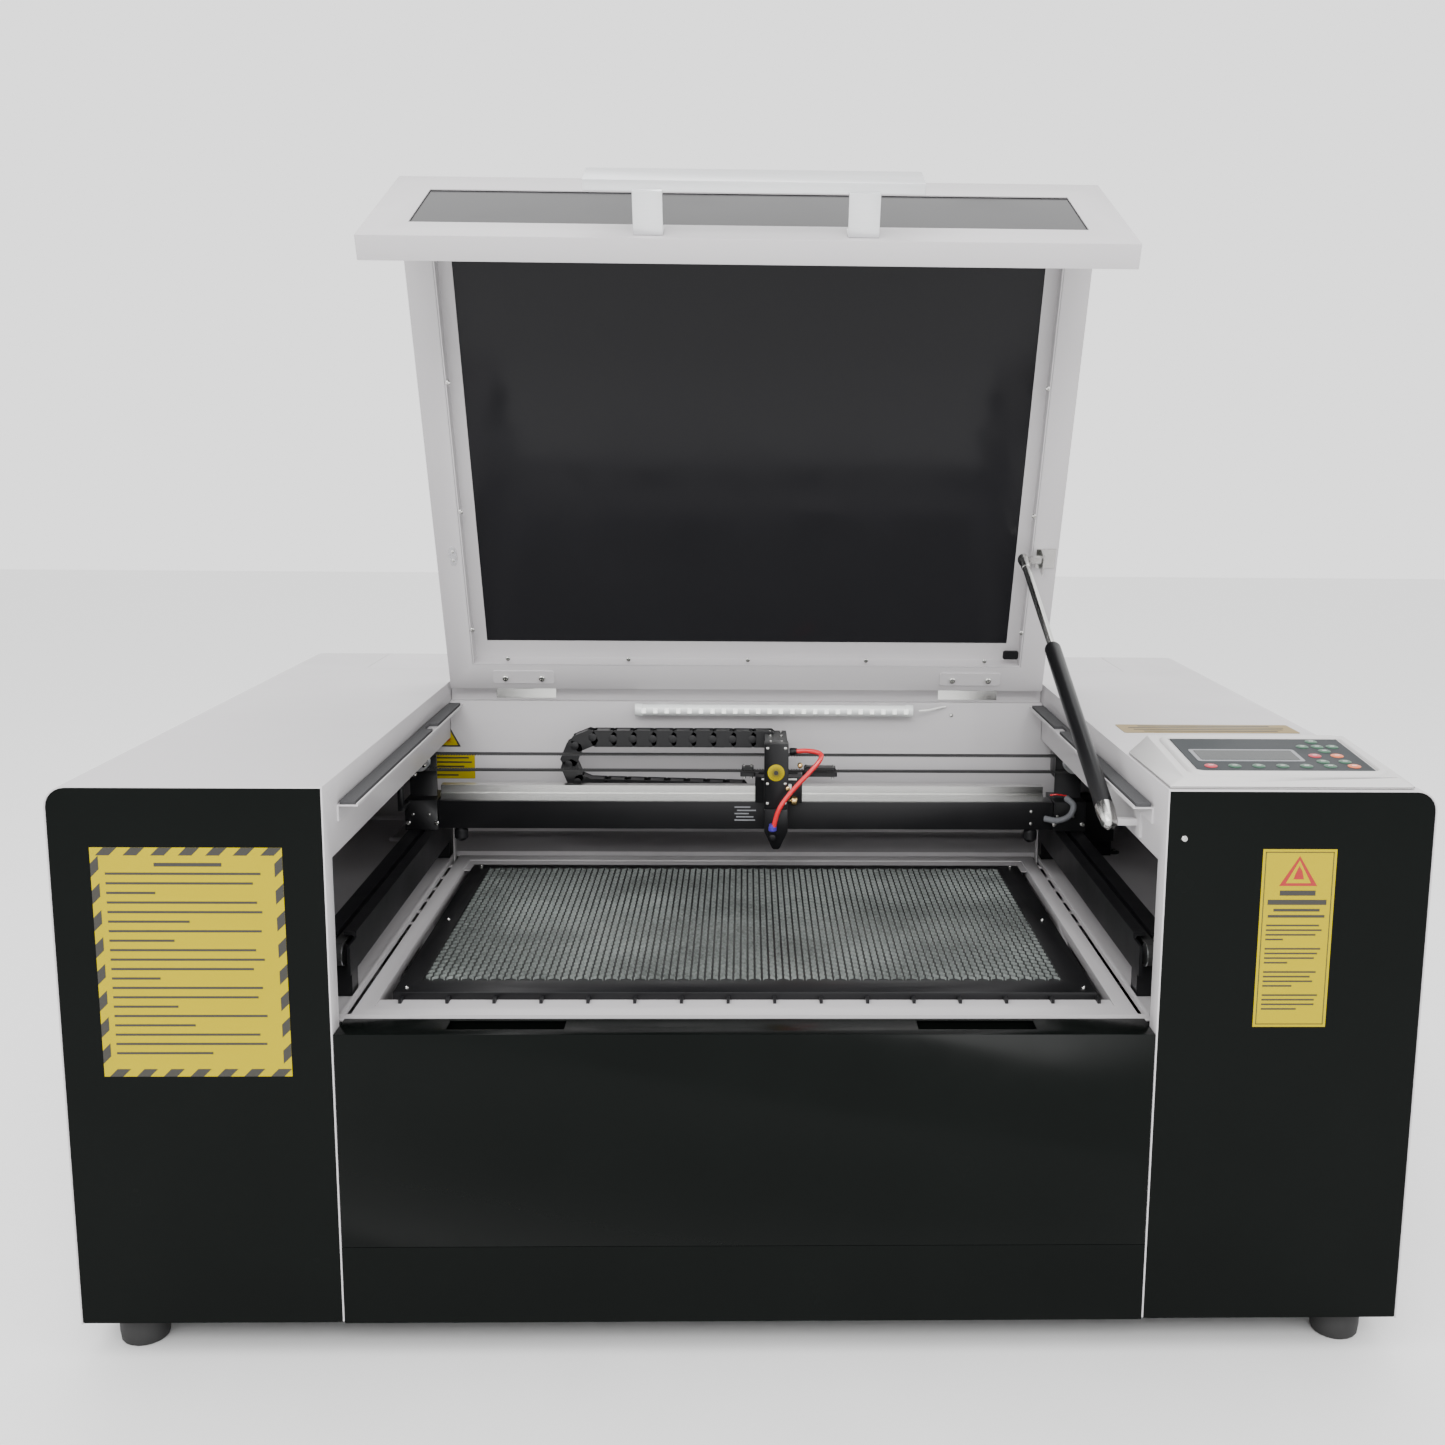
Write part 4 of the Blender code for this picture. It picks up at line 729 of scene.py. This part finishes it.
case = Shape()
case.lathe((506, 683, 311.7), (0, 0, 1), [(0, 8), (2.2, 8), (3.2, 6.5), (3.2, 3)], RUBBER, 20)
case.screw((506, 683, 315), (0, 0, 1), 3.2, STEEL)
for x in (-640, 640):
    for z in (60, 520):
        case.screw((x * 0.985, 905.2, z), (0, 1, 0), 3.0, STEEL)
for i in range(12):
    a = math.pi * (i + 0.5) / 6
    case.screw((90 * math.cos(a), 907.4, 200 + 90 * math.sin(a)), (0, 1, 0), 2.4, STEEL)
case.build("case_screws", "machine")

louvres = Shape()
for level in range(8):
    low_z, high_z = 120 + 18 * level, 126 + 18 * level
    for x0, x1 in ((-571.5, -428.5), (428.5, 571.5)):
        louvres.prism([(x0, 905.1, high_z + 2.4), (x0, 905.1, high_z + 1.0), (x0, 911.4, low_z - 2.4),
                       (x0, 912.6, low_z - 2.0)], (x1 - x0, 0, 0), WHITE)
        for x in (x0, x1 - 1.2):
            louvres.prism([(x, 905.1, high_z + 1.2), (x, 905.1, low_z - 2.2), (x, 911.6, low_z - 2.2)],
                          (1.2, 0, 0), WHITE)
louvres.build("rear_louvres", "machine")


# ---------------------------------------------------------------- stage

def floor():
    shape = Shape()
    shape.block((-9000, -5200, -19.5), (9000, 9000, -18.05), FLOOR)
    piece = shape.build("floor", None)


FLOOR = surface("floor_pale", (0.82, 0.82, 0.82), 0.6, vary=0.01, grain=30, bump=0.02)
floor()

world = bpy.data.worlds.new("studio")
bpy.context.scene.world = world
world.use_nodes = True
world.node_tree.nodes["Background"].inputs["Color"].default_value = (1, 1, 1, 1)
world.node_tree.nodes["Background"].inputs["Strength"].default_value = 1.9


def softbox(name, place, target, size, power):
    lamp_data = bpy.data.lights.new(name, "AREA")
    lamp_data.shape = "RECTANGLE"
    lamp_data.size, lamp_data.size_y = size
    lamp_data.energy = power
    light = bpy.data.objects.new(name, lamp_data)
    bpy.context.scene.collection.objects.link(light)
    light.location = place
    light.rotation_euler = (Vector(target) - Vector(place)).to_track_quat("-Z", "Y").to_euler()


softbox("key_light", (-1.4, -1.6, 2.9), (0, 0, 0.5), (2.4, 1.6), 40)
softbox("fill_light", (2.2, -1.4, 2.2), (0, 0, 0.5), (2.0, 2.0), 16)
softbox("front_light", (0.0, -2.7, 2.0), (0, 0.1, 0.36), (1.6, 0.9), 55)
softbox("top_light", (0.0, 0.6, 3.2), (0, 0, 0.5), (2.6, 2.0), 20)

camera_data = bpy.data.cameras.new("camera")
camera = bpy.data.objects.new("camera", camera_data)
bpy.context.scene.collection.objects.link(camera)
bpy.context.scene.camera = camera
camera_data.sensor_width = 36.0
camera_data.lens = 39.56
camera_data.shift_x, camera_data.shift_y = -0.0436, -0.0033
yaw, pitch, roll = math.radians(1.48), math.radians(10.03), math.radians(-0.52)
forward = Vector((math.sin(yaw) * math.cos(pitch), math.cos(yaw) * math.cos(pitch), -math.sin(pitch)))
right = Vector((math.cos(yaw), -math.sin(yaw), 0))
down = forward.cross(right)
right, down = (right * math.cos(roll) + down * math.sin(roll),
               down * math.cos(roll) - right * math.sin(roll))
turn = Matrix((right, -down, -forward)).transposed()
camera.matrix_world = Matrix.Translation(at(-3.18, -1432.32, 873.45)) @ turn.to_4x4()
camera_data.clip_end = 100
